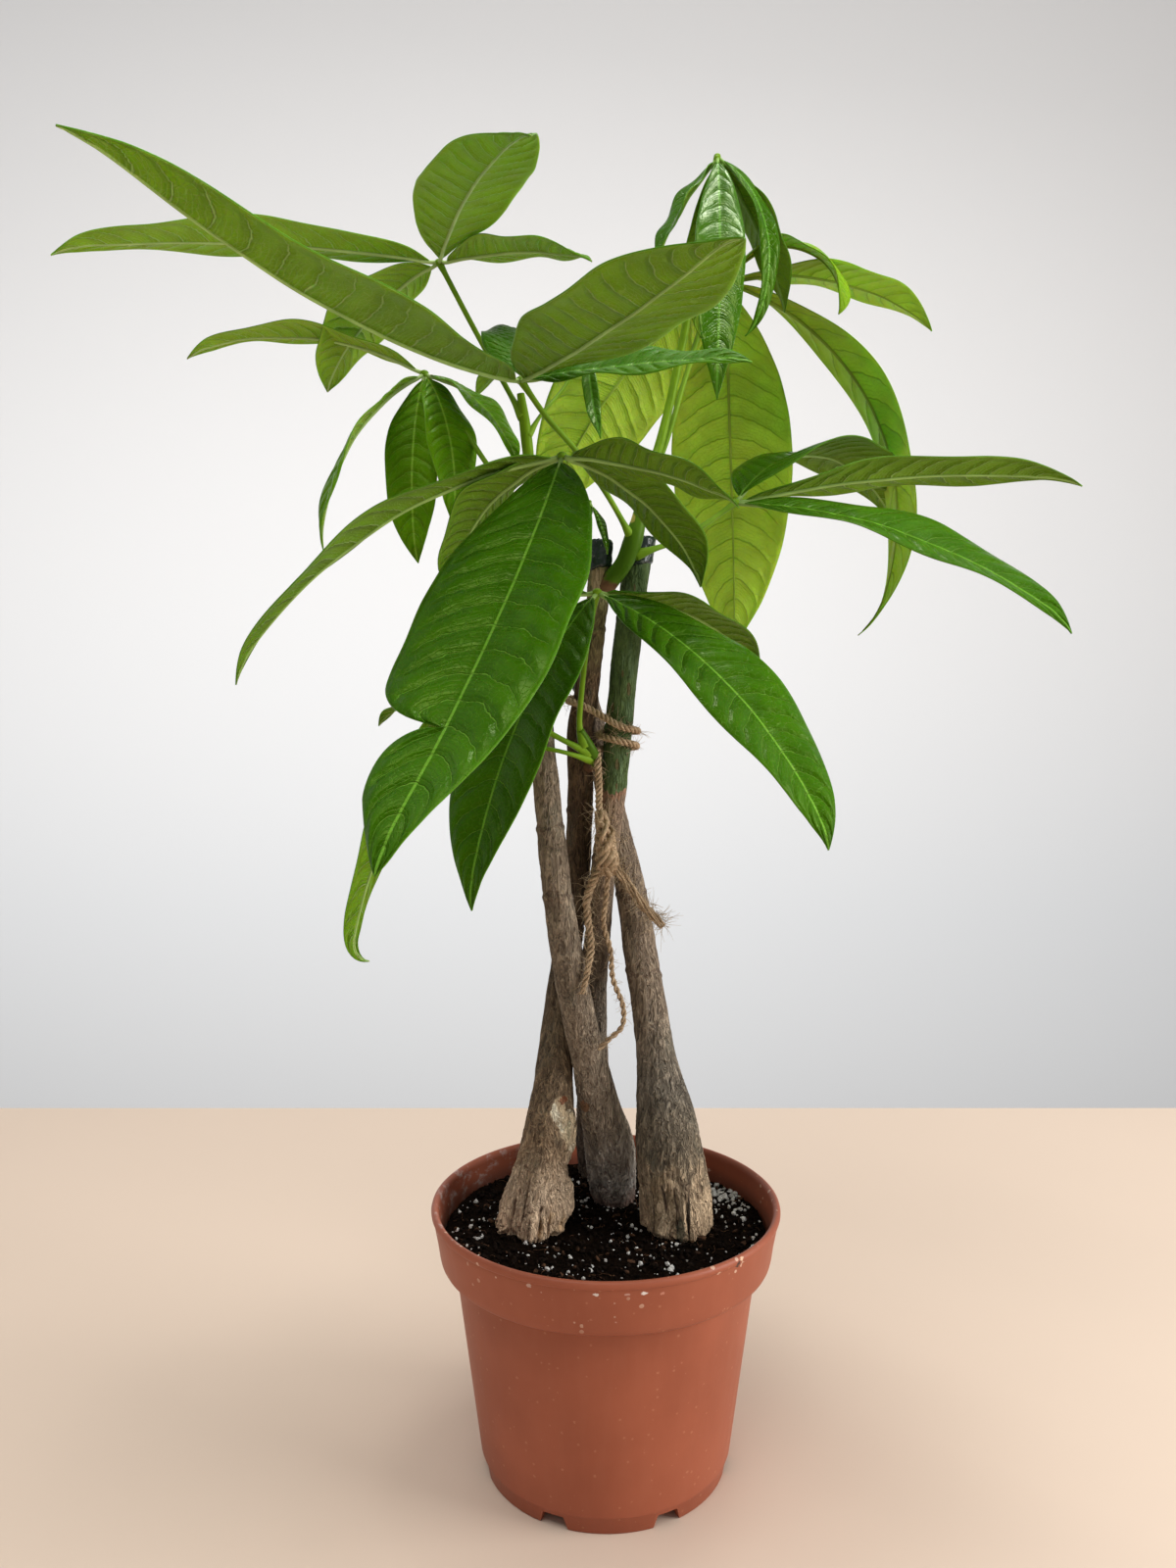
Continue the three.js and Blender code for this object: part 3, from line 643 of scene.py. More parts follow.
def make_pot():
    wall, height, rim, foot = POT["wall"], POT["height"], POT["rim"], POT["foot"]
    low, high, collar, floor = POT["collar_low"], POT["collar_high"], POT["collar"], POT["floor"]
    outline = [
        (0, 0), (POT["pad"] - 0.4, 0), (POT["pad"], 0.4), (POT["pad"] + 0.6, floor - wall),
        (foot - 5, floor - wall), (foot - 4.5, 0.3), (foot - 4.2, 0), (foot - 1.3, 0), (foot - 0.9, 0.4),
        (wall_radius(7.4) - 0.9, 7.2), (wall_radius(7.4) - 0.6, 7.5), (wall_radius(8) - 0.15, 7.7),
        (wall_radius(8.2), 8.2), (wall_radius(9), 9), (wall_radius(30), 30), (wall_radius(60), 60),
        (wall_radius(86), 86), (wall_radius(collar - 1.4), collar - 1.4),
        (wall_radius(collar - 0.8), collar - 0.8), (wall_radius(collar) + 0.3, collar - 0.2),
        (wall_radius(collar) + 1, collar), (low - 2.8, collar + 0.05), (low - 1.7, collar + 0.35),
        (low - 0.8, collar + 1.1), (low - 0.2, collar + 2.2), (low + 0.1, collar + 3.4),
        (low + 0.35, 95.6), (low + 1.1, 101), (high, 109), (high + 0.15, 110.6), (high + 0.3, 111.5),
        (rim - 0.45, 111.9), (rim - 0.05, 112.6), (rim, 113.4), (rim - 0.25, 114.3),
        (rim - 0.9, height - 0.15), (rim - 1.5, height), (rim - 2.2, height - 0.25),
        (high - wall - 0.2, height - 1.2), (high - wall - 0.4, height - 3), (low - wall + 0.6, 98),
        (low - wall, collar + 2), (low - wall - 0.8, collar + 1.3), (wall_radius(collar) - wall, collar + 1),
        (wall_radius(50) - wall, 50), (wall_radius(floor) - wall, floor + 2),
        (wall_radius(floor) - wall - 2, floor), (0, floor),
    ]
    bm = new_mesh()
    verts = [bm.verts.new((r * MM, 0, z * MM)) for r, z in outline]
    edges = [bm.edges.new(pair) for pair in zip(verts, verts[1:])]
    bmesh.ops.spin(bm, geom=verts + edges, cent=(0, 0, 0), axis=(0, 0, 1), angle=math.tau,
                   steps=168, use_merge=True)
    bmesh.ops.remove_doubles(bm, verts=bm.verts[:], dist=1e-6)
    bmesh.ops.recalc_face_normals(bm, faces=bm.faces[:])
    for face in bm.faces:
        face.smooth = True
    pot = new_piece("nursery_pot", bm, [pot_material()], "pot")
    cut_notches(pot)


def cut_notches(pot):
    """Cuts the drainage notches through the foot ring."""
    bm = new_mesh()
    half, top = 0.5 * POT["notch_width"] * MM, POT["notch_height"] * MM
    for i in range(POT["notches"]):
        turn = Matrix.Rotation(math.radians(POT["first_notch"] + i * 360 / POT["notches"]), 4, "Z")
        block = bmesh.ops.create_cube(bm, size=1)["verts"]
        for vert in block:
            upper = vert.co.z > 0
            vert.co = Vector((
                0.052 + 0.02 * vert.co.x,
                2 * vert.co.y * (half - 0.002 * upper),
                top if upper else -0.001,
            ))
        edges = list(dict.fromkeys(edge for vert in block for edge in vert.link_edges))
        upper_edges = [edge for edge in edges if abs(edge.verts[0].co.x - edge.verts[1].co.x) > 0.01
                       and edge.verts[0].co.z > 0]
        rounded = bmesh.ops.bevel(bm, geom=upper_edges, offset=0.0007, segments=3, profile=0.5,
                                  affect="EDGES", material=-1)
        corners = list(dict.fromkeys([*block, *rounded["verts"]]))
        bmesh.ops.transform(bm, matrix=turn, verts=[vert for vert in corners if vert.is_valid])
    mesh = bpy.data.meshes.new("notches")
    bm.to_mesh(mesh)
    bm.free()
    cutters = bpy.data.objects.new("notches", mesh)
    scene.collection.objects.link(cutters)
    cut = pot.modifiers.new("notches", "BOOLEAN")
    cut.object = cutters
    cut.operation = "DIFFERENCE"
    apply_modifiers(pot)
    bpy.data.objects.remove(cutters)
    bpy.data.meshes.remove(mesh)
    pot.data.set_sharp_from_angle(angle=math.radians(38))


def apply_modifiers(piece):
    """Gives a piece the mesh that its modifiers make."""
    graph = bpy.context.evaluated_depsgraph_get()
    finished = bpy.data.meshes.new_from_object(piece.evaluated_get(graph))
    piece.modifiers.clear()
    old = piece.data
    piece.data = finished
    bpy.data.meshes.remove(old)


make_pot()


# Soil

SOIL_TOP = 103
SOIL_REACH = 67

# Where the canes stand in the soil: x, y and radius
CANE_FEET = [(-30, -2.5, 14.6), (4.5, 24, 9), (31, -3, 13.6), (-2, 51.5, 8.3)]


def soil_height(x, y):
    """Height of the soil's top at a place, in millimetres."""
    spot = Vector((x, y, 0))
    swell = 1.3 * noise.noise(spot / 28) + 0.9 * noise.noise(spot / 9 + Vector((3, 1, 7)))
    crumbs = 0.75 * noise.noise(spot / 3.1) + 0.5 * noise.noise(spot / 1.5 + Vector((9, 2, 4)))
    edge = max(0, math.hypot(x, y) - 60) / 10
    return SOIL_TOP + 0.2 + swell + crumbs - 1.2 * edge * edge


def soil_material():
    sheet = MaterialSheet("potting_soil", 1.0, 0.02)
    crumbs = sheet.place.noise(700, 5, 0.7)
    colour = crumbs.between(0.35, 0.7).mix((0.0025, 0.0015, 0.001), (0.012, 0.007, 0.0045))
    colour = colour.painted((0.016, 0.008, 0.005), sheet.place.noise(90).between(0.5, 0.7) * 0.4)
    colour = colour.painted((0.5, 0.46, 0.42), sheet.place.dusted(520, 0.035) * 0.7)
    return sheet.finished(colour, crumbs, 0.9, 0.0012)


def grain_material(name, light, dark, scale):
    sheet = MaterialSheet(name, 0.95, 0.05)
    pits = sheet.place.noise(scale, 4, 0.6)
    return sheet.finished(pits.between(0.4, 0.6).mix(dark, light), pits, 0.6, 0.0004)


def make_soil():
    """A crumbly top, with a smooth skirt down to the pot's floor."""
    bm = new_mesh()
    outer = POT["collar_low"] - POT["wall"] - 0.4

    def place(u, v):
        x, y = polar(outer * v ** 0.8, math.tau * (u % 1))
        return Vector((x, y, soil_height(x, y))) * MM

    shaped_grid(bm, 260, 90, place, rolled=True)
    bmesh.ops.remove_doubles(bm, verts=bm.verts[:], dist=1e-7)
    rim = [edge for edge in bm.edges if edge.is_boundary]
    skirt = [(outer - 0.2, 94.5)]
    for z, gap, height in ((91, 0.6, 93.4), (10, 0.6, 10), (10, 3, 7.2)):
        skirt.append((wall_radius(z) - POT["wall"] - gap, height))
    for radius, z in skirt:
        grown = bmesh.ops.extrude_edge_only(bm, edges=rim)["geom"]
        rim = [part for part in grown if isinstance(part, bmesh.types.BMEdge)]
        for vert in dict.fromkeys(vert for edge in rim for vert in edge.verts):
            flat = Vector((vert.co.x, vert.co.y, 0)).normalized() * radius * MM
            vert.co = Vector((flat.x, flat.y, z * MM))
    bmesh.ops.edgeloop_fill(bm, edges=rim)
    bmesh.ops.recalc_face_normals(bm, faces=bm.faces[:])
    new_piece("soil_bed", bm, [soil_material()], "soil")


def scatter(name, material, seed, count, sizes, squash, spot):
    """Small rough grains that lie half sunk in the soil."""
    chance = random.Random(seed)
    bm = new_mesh()
    for _ in range(count):
        x, y = spot(chance)
        if any(math.hypot(x - a, y - b) < r for a, b, r in CANE_FEET):
            continue
        size = chance.uniform(*sizes) ** 1.6
        middle = Vector((x, y, soil_height(x, y) + 0.15 * size)) * MM
        turn = Matrix.Rotation(chance.uniform(0, 6.3), 4, Vector((chance.random(), chance.random(), 1)))
        shape = Matrix.Diagonal((1, chance.uniform(0.6, 1), chance.uniform(*squash), 1))
        grain = bmesh.ops.create_icosphere(bm, subdivisions=1, radius=0.5 * size * MM,
                                           matrix=Matrix.Translation(middle) @ turn @ shape)["verts"]
        for vert in grain:
            vert.co = middle + (vert.co - middle) * chance.uniform(0.75, 1.2)
    new_piece(name, bm, [material])


def scatter_fibres():
    """Brown plant fibres in the soil."""
    chance = random.Random(16)
    bm = new_mesh()
    for _ in range(130):
        x, y = anywhere(chance)
        turn, size = chance.uniform(0, math.tau), chance.uniform(2.5, 8)
        fibre = []
        for k in range(4):
            lift = 0.25 + 0.5 * chance.random()
            fibre.append((x, y, soil_height(x, y) + lift, 0.16 - 0.03 * k))
            turn += chance.gauss(0, 0.45)
            x, y = x + size / 3 * math.cos(turn), y + size / 3 * math.sin(turn)
            if math.hypot(x, y) > SOIL_REACH:
                break
        if len(fibre) > 2:
            tube(bm, fibre, 3, size / 3)
    fibre = grain_material("plant_fibre", (0.16, 0.08, 0.045), (0.07, 0.035, 0.02), 600)
    new_piece("soil_fibres", bm, [fibre])


def anywhere(chance):
    """A place on the soil."""
    return polar(SOIL_REACH * chance.random() ** 0.5, chance.uniform(0, math.tau))


def in_drifts(chance):
    """A place in the drifts that the grains were washed into."""
    for _ in range(12):
        x, y = anywhere(chance)
        if noise.noise(Vector((x / 13, y / 13, 5))) + 0.25 > chance.random() * 0.9:
            break
    return x, y


def right_corner(chance):
    """A place in the heap at the right."""
    angle = math.radians(chance.gauss(27, 14))
    return polar(min(67.5, chance.gauss(61, 5)), angle)


make_soil()
PERLITE = grain_material("perlite", (0.8, 0.78, 0.74), (0.5, 0.47, 0.43), 900)
DUSTY_PERLITE = grain_material("dusty_perlite", (0.72, 0.71, 0.66), (0.4, 0.39, 0.35), 700)
PEAT = grain_material("peat_crumbs", (0.013, 0.0075, 0.005), (0.003, 0.002, 0.0015), 700)
BARK_CRUMBS = grain_material("bark_crumbs", (0.09, 0.045, 0.025), (0.025, 0.014, 0.009), 500)
scatter("peat_crumbs", PEAT, 11, 1500, (0.9, 2.2), (0.5, 0.9), anywhere)
scatter("bark_crumbs", BARK_CRUMBS, 12, 170, (1.1, 2.4), (0.3, 0.6), anywhere)
scatter("perlite", PERLITE, 13, 330, (0.6, 1.1), (0.7, 1), in_drifts)
scatter("large_perlite", PERLITE, 15, 170, (1.2, 1.9), (0.7, 1), in_drifts)
scatter("perlite_heap", DUSTY_PERLITE, 14, 85, (1.2, 2.1), (0.7, 1), right_corner)
scatter_fibres()


# Canes

# A cane's rows hold height, x, y and radius. Lobes are how many roots swell its foot, how far and from
# which angle. Carvings are wounds, splits and roots: angle, height, half width, half height, how far they
# stand out, and how far they smooth the bark. Light and dark are the bark's colours from the soil up.
CANES = {
    "left": {
        "node": "cane_left",
        "rows": [
            (48, -30, -2, 8), (96, -30.5, -3, 14), (104, -30, -2.5, 15.3), (118, -28.5, -1, 14),
            (132, -26.5, 1.5, 11.5), (148, -24.3, 5.5, 10), (168, -22.6, 11.8, 8), (190, -20.5, 15.5, 6.9),
            (215, -17.5, 17.5, 6.2), (250, -12.8, 15.5, 5.6), (295, -10.8, 9.5, 5.3), (316, -10.8, 7, 5.5),
            (340, -7.5, 4, 5), (368, -4, 3, 4.4), (396, -2.3, 3, 4.4),
        ],
        "lobes": (5, 0.13, 0.4), "rings": [228, 283, 359], "flare": 1.0,
        "seed": 1, "grain": 950, "bare_foot": 136,
        "carvings": [(-34, 143, 7, 11, 2.8, 0.2), (-8, 128, 9, 5, -4, 0.1), (-10, 105, 13, 8, -4.5, 0),
                     (-52, 154, 3.6, 8, -0.7, 0.9), (-42, 146, 3, 8, -0.9, 0.9),
                     (-115, 117, 0.55, 11, -1.2, 0), (-84, 109, 0.6, 9, -1.5, 0),
                     (-66, 110, 0.5, 8, -1.2, 0), (-100, 106, 0.5, 6, -1.2, 0),
                     (-140, 112, 0.5, 9, -1.1, 0)],
        "light": [(0, (0.95, 0.68, 0.44)), (0.07, (0.92, 0.68, 0.46)), (0.13, (0.5, 0.34, 0.2)),
                  (0.3, (0.27, 0.205, 0.13)), (0.55, (0.17, 0.115, 0.07)), (0.8, (0.24, 0.15, 0.085)),
                  (0.88, (0.26, 0.23, 0.1)), (1, (0.34, 0.3, 0.14))],
        "dark": [(0, (0.5, 0.33, 0.21)), (0.08, (0.34, 0.22, 0.13)), (0.18, (0.085, 0.056, 0.036)),
                 (0.4, (0.06, 0.042, 0.028)), (0.6, (0.045, 0.027, 0.016)), (0.8, (0.05, 0.03, 0.018)),
                 (1, (0.1, 0.1, 0.04))],
    },
    "middle": {
        "node": "cane_middle",
        "rows": [
            (48, 5.5, 26, 6), (98, 5, 25, 8.5), (108, 4, 24, 9.8), (124, 2.8, 21, 11.2),
            (138, 1, 18, 10.4), (150, -2.4, 14, 9.2), (168, -6, 9, 7.9), (190, -10.5, 2, 7.3),
            (212, -14.7, -4, 6.9), (247, -20, -9, 6.2), (275, -23.2, -8, 5.6), (295, -25, -6, 5.2),
            (340, -29, 0, 4.9), (374, -31.4, 3.8, 4.6),
        ],
        "lobes": (3, 0.05, 1.1), "rings": [248, 277, 330], "flare": 0.35,
        "seed": 2, "grain": 1050, "bare_foot": 104,
        "carvings": [(176, 153, 2.4, 3, -0.8, 0.5)],
        "light": [(0, (0.5, 0.34, 0.27)), (0.04, (0.9, 0.84, 0.74)), (0.15, (0.8, 0.65, 0.48)),
                  (0.4, (0.42, 0.335, 0.24)), (0.7, (0.4, 0.31, 0.22)), (1, (0.3, 0.26, 0.17))],
        "dark": [(0, (0.17, 0.1, 0.075)), (0.06, (0.26, 0.19, 0.14)), (0.25, (0.14, 0.1, 0.07)),
                 (0.6, (0.13, 0.095, 0.065)), (1, (0.1, 0.085, 0.05))],
    },
    "right": {
        "node": "cane_right",
        "rows": [
            (48, 31, -3, 8), (94, 31.5, -3, 13.4), (103, 31, -3, 14.2), (118, 30, -3, 14.4),
            (140, 27, -1.5, 13.6), (152, 26, 0, 12.4), (166, 23.6, 2, 10), (178, 21.7, 3, 8.4),
            (198, 18.9, 6, 7.5), (220, 15.4, 10, 7.2), (238, 12.9, 13, 6.8), (255, 9.5, 16, 6.3),
            (283, 3, 19, 5.6), (324, -6.5, 21, 5), (345, -11, 20, 4.7),
        ],
        "lobes": (6, 0.07, 0.2), "rings": [212, 246, 300], "flare": 0.85,
        "seed": 3, "grain": 950, "bare_foot": 128,
        "carvings": [(-75, 113, 0.6, 12, -1.5, 0), (-69, 103, 2.2, 7, 1.6, 0.3),
                     (-119, 118, 7, 14, -0.6, 0.5), (-92, 116, 0.5, 10, -0.9, 0),
                     (-134, 112, 0.5, 12, -0.9, 0), (-112, 120, 0.45, 8, -0.8, 0)],
        "light": [(0, (0.95, 0.68, 0.42)), (0.1, (0.85, 0.63, 0.4)), (0.14, (0.44, 0.345, 0.23)),
                  (0.25, (0.36, 0.31, 0.24)), (0.4, (0.46, 0.36, 0.26)), (0.7, (0.42, 0.32, 0.23)),
                  (1, (0.24, 0.18, 0.13))],
        "dark": [(0, (0.36, 0.23, 0.14)), (0.13, (0.07, 0.054, 0.038)), (0.3, (0.07, 0.06, 0.045)),
                 (0.45, (0.14, 0.1, 0.07)), (0.7, (0.12, 0.085, 0.06)), (1, (0.06, 0.042, 0.03))],
    },
    "back": {
        "node": "cane_back",
        "rows": [
            (48, -2, 48, 6), (100, -2, 51.5, 8.5), (115, -2.5, 50, 9.8), (135, -3.5, 46, 8.8),
            (160, -5, 38, 7), (190, -5.5, 29, 6.2), (215, -4.3, 20, 5.6), (237, -2.6, 12, 5.3),
            (255, -1.2, 7, 5.2), (275, 1.2, 4.5, 5.2), (295, 3.6, 3.5, 5.4), (316, 5.2, 3.5, 5.7),
            (336, 6.9, 4, 5.7), (376, 11.6, 7, 5.6), (398, 14.8, 9, 5.5),
        ],
        "lobes": (4, 0.06, 0), "rings": [262, 318, 366], "flare": 0.5,
        "seed": 4, "grain": 950, "bare_foot": 104,
        "light": [(0, (0.3, 0.22, 0.16)), (0.3, (0.28, 0.23, 0.17)), (0.5, (0.42, 0.31, 0.21)),
                  (0.65, (0.46, 0.32, 0.22)), (1, (0.3, 0.3, 0.2))],
        "dark": [(0, (0.08, 0.06, 0.045)), (0.3, (0.08, 0.065, 0.05)), (0.5, (0.14, 0.1, 0.07)),
                 (0.65, (0.16, 0.11, 0.075)), (1, (0.1, 0.1, 0.06))],
    },
}


# Spots on the bark, as spotted takes them
CANE_SPOTS = {
    "left": [
        ((-15.8, -4, 146), (1, 8, 4), 0.3, 0.4, (0.3, 0.3, 0.2)),
        ((-18, -2, 157.5), (2.4, 7, 2), 0.35, 0.85, (0.3, 0.1, 0.045)),
        ((-22, -14, 108), (7, 8, 6), 0.6, 0.6, (0.62, 0.38, 0.18), "Flake"),
        ((-3, -2, 380), (4, 4, 5), 0.35, 0.7, (0.42, 0.3, 0.17)),
        ((-1.5, -1.5, 377), (1.2, 3, 1.6), 0.2, 0.85, (0.06, 0.03, 0.02)),
    ],
    "middle": [
        ((-9.3, 7, 153), (2.4, 5, 2.6), 0.5, 0.85, (0.4, 0.21, 0.11)),
        ((3.5, 16, 115.5), (9, 9, 1.6), 0.9, 0.4, (0.4, 0.38, 0.34)),
    ],
    "right": [
        # Painted shade: a nearly black streak laid along the carved split at -75 degrees.
        ((34.6, -16, 113), (0.7, 4, 12), 0.12, 0.9, (0.02, 0.012, 0.009)),
        ((31.5, -16, 108), (2, 5, 5.5), 0.4, 0.65, (0.13, 0.16, 0.11)),
        ((36.3, -17, 102), (1.8, 4, 3.5), 0.3, 0.75, (0.5, 0.26, 0.12)),
    ],
    "back": [],
}


def cane_at(rows, z):
    """Place and radius of a cane at a height."""
    i = 0
    while i < len(rows) - 2 and z > rows[i + 1][0]:
        i += 1
    low, high = rows[i], rows[i + 1]

    def slope(k, part):
        before, after = rows[max(k - 1, 0)], rows[min(k + 1, len(rows) - 1)]
        return (after[part] - before[part]) / (after[0] - before[0])

    gap = high[0] - low[0]
    t = (z - low[0]) / gap
    if t > 1:
        return [high[part] + slope(i + 1, part) * (z - high[0]) for part in (1, 2, 3)]
    return [
        (2 * t ** 3 - 3 * t ** 2 + 1) * low[part] + (t ** 3 - 2 * t ** 2 + t) * gap * slope(i, part)
        + (3 * t ** 2 - 2 * t ** 3) * high[part] + (t ** 3 - t ** 2) * gap * slope(i + 1, part)
        for part in (1, 2, 3)
    ]


def carved(cane, angle, z, radius):
    """The depth of the wounds, splits and roots cut into a cane, how far they smooth the bark, and
    how far the spot lies in a crack."""
    depth, smooth, crack = 0.0, 0.0, 0.0
    for at, middle, wide, tall, rise, soft in cane.get("carvings", ()):
        turn = (math.degrees(angle) - at + 180) % 360 - 180
        run = 0.35 * noise.noise(Vector((z / 4, at, 0))) * wide + math.radians(turn) * radius
        away = math.hypot(run / wide, (z - middle) / tall)
        share = clamped((1.15 - away) / (0.35 if wide < 4 else 1))
        share *= share * (3 - 2 * share)
        depth += rise * share
        smooth = max(smooth, soft * share)
        crack = max(crack, share * (wide < 1))
    return depth, smooth, crack


def bark_relief(cane, spot, angle, z, radius):
    """How far the bark stands out at a spot, in millimetres, and how much of a ridge (for a painted
    highlight) and a split (for painted shade) it is.
    The bark coarsens towards the soil, into plates with deep splits between them."""
    low = max(0, 1 - (z - SOIL_TOP) / 75)
    flare, seed = cane["flare"], cane["seed"]
    shift = Vector((0, 0, 40 * seed))
    broad = 0.35 * noise.noise(spot / 13 + shift)
    long = Vector((spot.x, spot.y, spot.z * 0.17)) + shift
    warp = noise.noise_vector(long / 3.5) * 1.5
    warp += noise.noise_vector(Vector((spot.x, spot.y, spot.z * 0.45)) / 2.3) * 0.35
    ridge = 1 - min(1, 3.2 * abs(noise.noise((long + warp) / 2.5)))
    split = 1 - min(1, abs(noise.noise((long + warp * 0.7) / 5.2 + Vector((5, 5, 5)))) / 0.07)
    fine = (0.3 + 0.45 * low) * ridge
    deep = -(1.3 * low ** 1.4 * flare) * split
    plates = 0.6 * low ** 1.5 * flare * noise.cell((long + warp) / 4.4)
    soil_line = SOIL_TOP + 1.5 + 4.5 * ring_noise(angle, 2.2, seed)
    undercut = -1.5 * flare * clamped((soil_line - z) / 1.6)
    depth, smooth, crack = carved(cane, angle, z, radius)
    bare = 1 - smooth
    # Where the material paints shade: in the bark's deep splits and in the narrow carved cracks.
    split_shade = max(split * low ** 0.7 * flare * bare, crack)
    return broad + depth + bare * (fine + deep + plates) + undercut, (ridge * bare, split_shade)


def ring_relief(cane, z, angle):
    """How far a cane's rings stand out, each with a groove above it."""
    rise = 0
    for ring in cane["rings"]:
        away = z - ring - 0.9 * math.sin(angle + ring)
        rise += 0.42 * math.exp(-(away / 0.9) ** 2) - 0.2 * math.exp(-((away - 2) / 0.7) ** 2)
    return rise


def cane_surface(cane, angle, z, stand=0.0, bare=False):
    """A place on a cane and the bark's mark there, or a place on the bare cane."""
    x, y, radius = cane_at(cane["rows"], z)
    count, depth, turn = cane["lobes"]
    reach = max(0, 1 - abs(z - SOIL_TOP) / 55)
    radius *= 1 + depth * reach * math.cos(count * (angle + turn))
    spot = Vector((x + radius * math.cos(angle), y + radius * math.sin(angle), z))
    mark = (0, 0)
    if not bare:
        relief, mark = bark_relief(cane, spot, angle, z, radius)
        radius += relief + ring_relief(cane, z, angle)
    radius += stand
    return Vector((x + radius * math.cos(angle), y + radius * math.sin(angle), z)) * MM, mark


def cane_material(key, cane):
    """Bark in colours that change with the height: patches, flakes and algae, a bare foot, painted shade in
    the cracks and splits, painted highlights on the crests, the cane's own marks, and its rings."""
    sheet = MaterialSheet(f"bark_{key}", 0.85, 0.2)
    place = sheet.place
    z = place.parts()[2]
    low, top = SOIL_TOP * MM, cane["rows"][-1][0] * MM
    level = z.strayed(place.noise(130, 4, 0.6), 0.025)
    share = level.between(low, top, smooth=False)
    light, dark = share.ramp(cane["light"]), share.ramp(cane["dark"])
    # The darkest bark colour, laid into the cracks and splits as painted shade.
    crack_shade = dark.painted((0.45, 0.4, 0.4), 1.0, "MULTIPLY")
    bark = sheet.group(BARK, Place=place, Grain=cane["grain"])
    ridge, split, _ = sheet.mark("relief").parts()
    colour = bark["Patch"].mix(dark.painted(light, 0.25), dark.painted(light, 0.1))
    colour = colour.painted(dark.painted(light, 0.6), bark["Flake"] * 0.4)
    algae = place.stretched(0.5).noise(95).between(0.54, 0.68)
    colour = colour.painted((0.15, 0.17, 0.13), algae * 0.3)
    foot = level.between(cane["bare_foot"] * MM, (cane["bare_foot"] - 14) * MM) * 0.85
    bare = bark["Flake"].between(0.2, 0.8).mix(dark.painted(light, 0.45), light)
    colour = colour.painted(bare, foot)
    # Painted shade in the bark's cracks.
    colour = colour.painted(crack_shade, bark["Crack"] * (0.6 - foot * 0.6))
    crest = (bark["Ridge"] * 0.7).joined(ridge.between(0.6, 0.95))
    # Painted highlight: the light colour laid on the crests of the ridges.
    colour = colour.painted(light, crest * 0.85)
    # Painted shade in the splits and the carved cracks.
    colour = colour.painted(crack_shade, split.between(0.3, 0.9) * 0.8)
    if key in BARE_PARTS:
        colour = BARE_PARTS[key](place, colour, bark, split)
    colour = spotted(colour, place, CANE_SPOTS[key], bark)
    rings = [abs(level - ring * MM).between(0.0016, 0.0004) for ring in cane["rings"]]
    colour = colour.painted((0.09, 0.05, 0.035), reduce(Value.joined, rings) * 0.5)
    height = bark["Ridge"] - bark["Crack"] * 0.7
    height = height * (z.between(top, low, smooth=False) * 0.65 + 0.35)
    height = height + place.stretched(0.08).noise(1500) * 0.25
    return sheet.finished(colour, height, 1.0, 0.0013)


def cream_wound(place, colour, bark, split):
    """The long cream wound above the left cane's foot."""
    sores = [
        place.spot((-20.6, 0, 153.5), (3.2, 11, 5.4), 0.3), place.spot((-17, 0, 147.5), (3.8, 11, 6), 0.3),
        place.spot((-13.6, 0, 141.5), (3.8, 11, 5.5), 0.3),
    ]
    cream = bark["Flake"].mix((0.75, 0.58, 0.37), (0.95, 0.85, 0.64))
    cream = cream.painted((0.35, 0.22, 0.12), bark["Crack"] * 0.35)
    return colour.painted(cream, reduce(Value.joined, sores) * 0.95)


def bare_panel(place, colour, bark, split):
    """The panel of bare wood on the right cane's foot."""
    panel = place.spot((24, -15, 117), (7.5, 9, 14.5), 0.15) * split.between(0.5, 0.1)
    return colour.painted(bark["Flake"].mix((0.4, 0.28, 0.16), (0.8, 0.6, 0.38)), panel * 0.85)


def green_skin(place, colour, bark, split):
    """The back cane's upper part: green with a bloom and brown pores, above a brown rim."""
    rough = place.stretched(0.4).noise(160, 3, 0.6)
    edge = place.parts()[2].strayed(rough, 0.03)
    skin = rough.between(0.35, 0.6).mix((0.05, 0.085, 0.025), (0.1, 0.15, 0.05))
    bloom = place.stretched(0.25).noise(330).between(0.45, 0.7)
    skin = skin.painted((0.16, 0.24, 0.13), bloom * 0.4)
    skin = skin.painted((0.12, 0.06, 0.03), place.stretched(0.35).dusted(420, 0.25) * 0.6)
    rim = abs(edge - 0.2905).between(0.0022, 0.0006)
    colour = colour.painted((0.33, 0.17, 0.1), rim * 0.6)
    return colour.painted(skin, edge.between(0.2915, 0.2925))


BARE_PARTS = {"left": cream_wound, "right": bare_panel, "back": green_skin}


def wax_material():
    sheet = MaterialSheet("sealing_wax", 0.3, 0.5)
    chips = sheet.place.noise(420, 4, 0.6).between(0.6, 0.66)
    mottle = sheet.place.noise(300)
    colour = mottle.mix((0.006, 0.012, 0.009), (0.022, 0.04, 0.03)).painted((0.16, 0.17, 0.14), chips * 0.6)
    return sheet.finished(colour, mottle, 0.5, 0.0006, roughness=chips * 0.5 + 0.22)


def make_bark(key, cane):
    bottom, top = 97, cane["rows"][-1][0]
    rows_up = round((top - bottom) / 0.8)
    around = 140 if cane["flare"] > 0.6 else 100
    found = {}

    def look_up(u, v):
        spot = (round(u % 1, 5), v)
        if spot not in found:
            found[spot] = cane_surface(cane, math.tau * (u % 1), bottom + (top - bottom) * v ** 1.25)
        return found[spot]

    bm = new_mesh("relief")
    faces = shaped_grid(bm, around, rows_up, lambda u, v: look_up(u, v)[0],
                        {"relief": lambda u, v: look_up(u, v)[1]}, rolled=True)
    close_ends(bm, faces)
    new_piece(f"bark_{key}", bm, [cane_material(key, cane)], cane["node"])


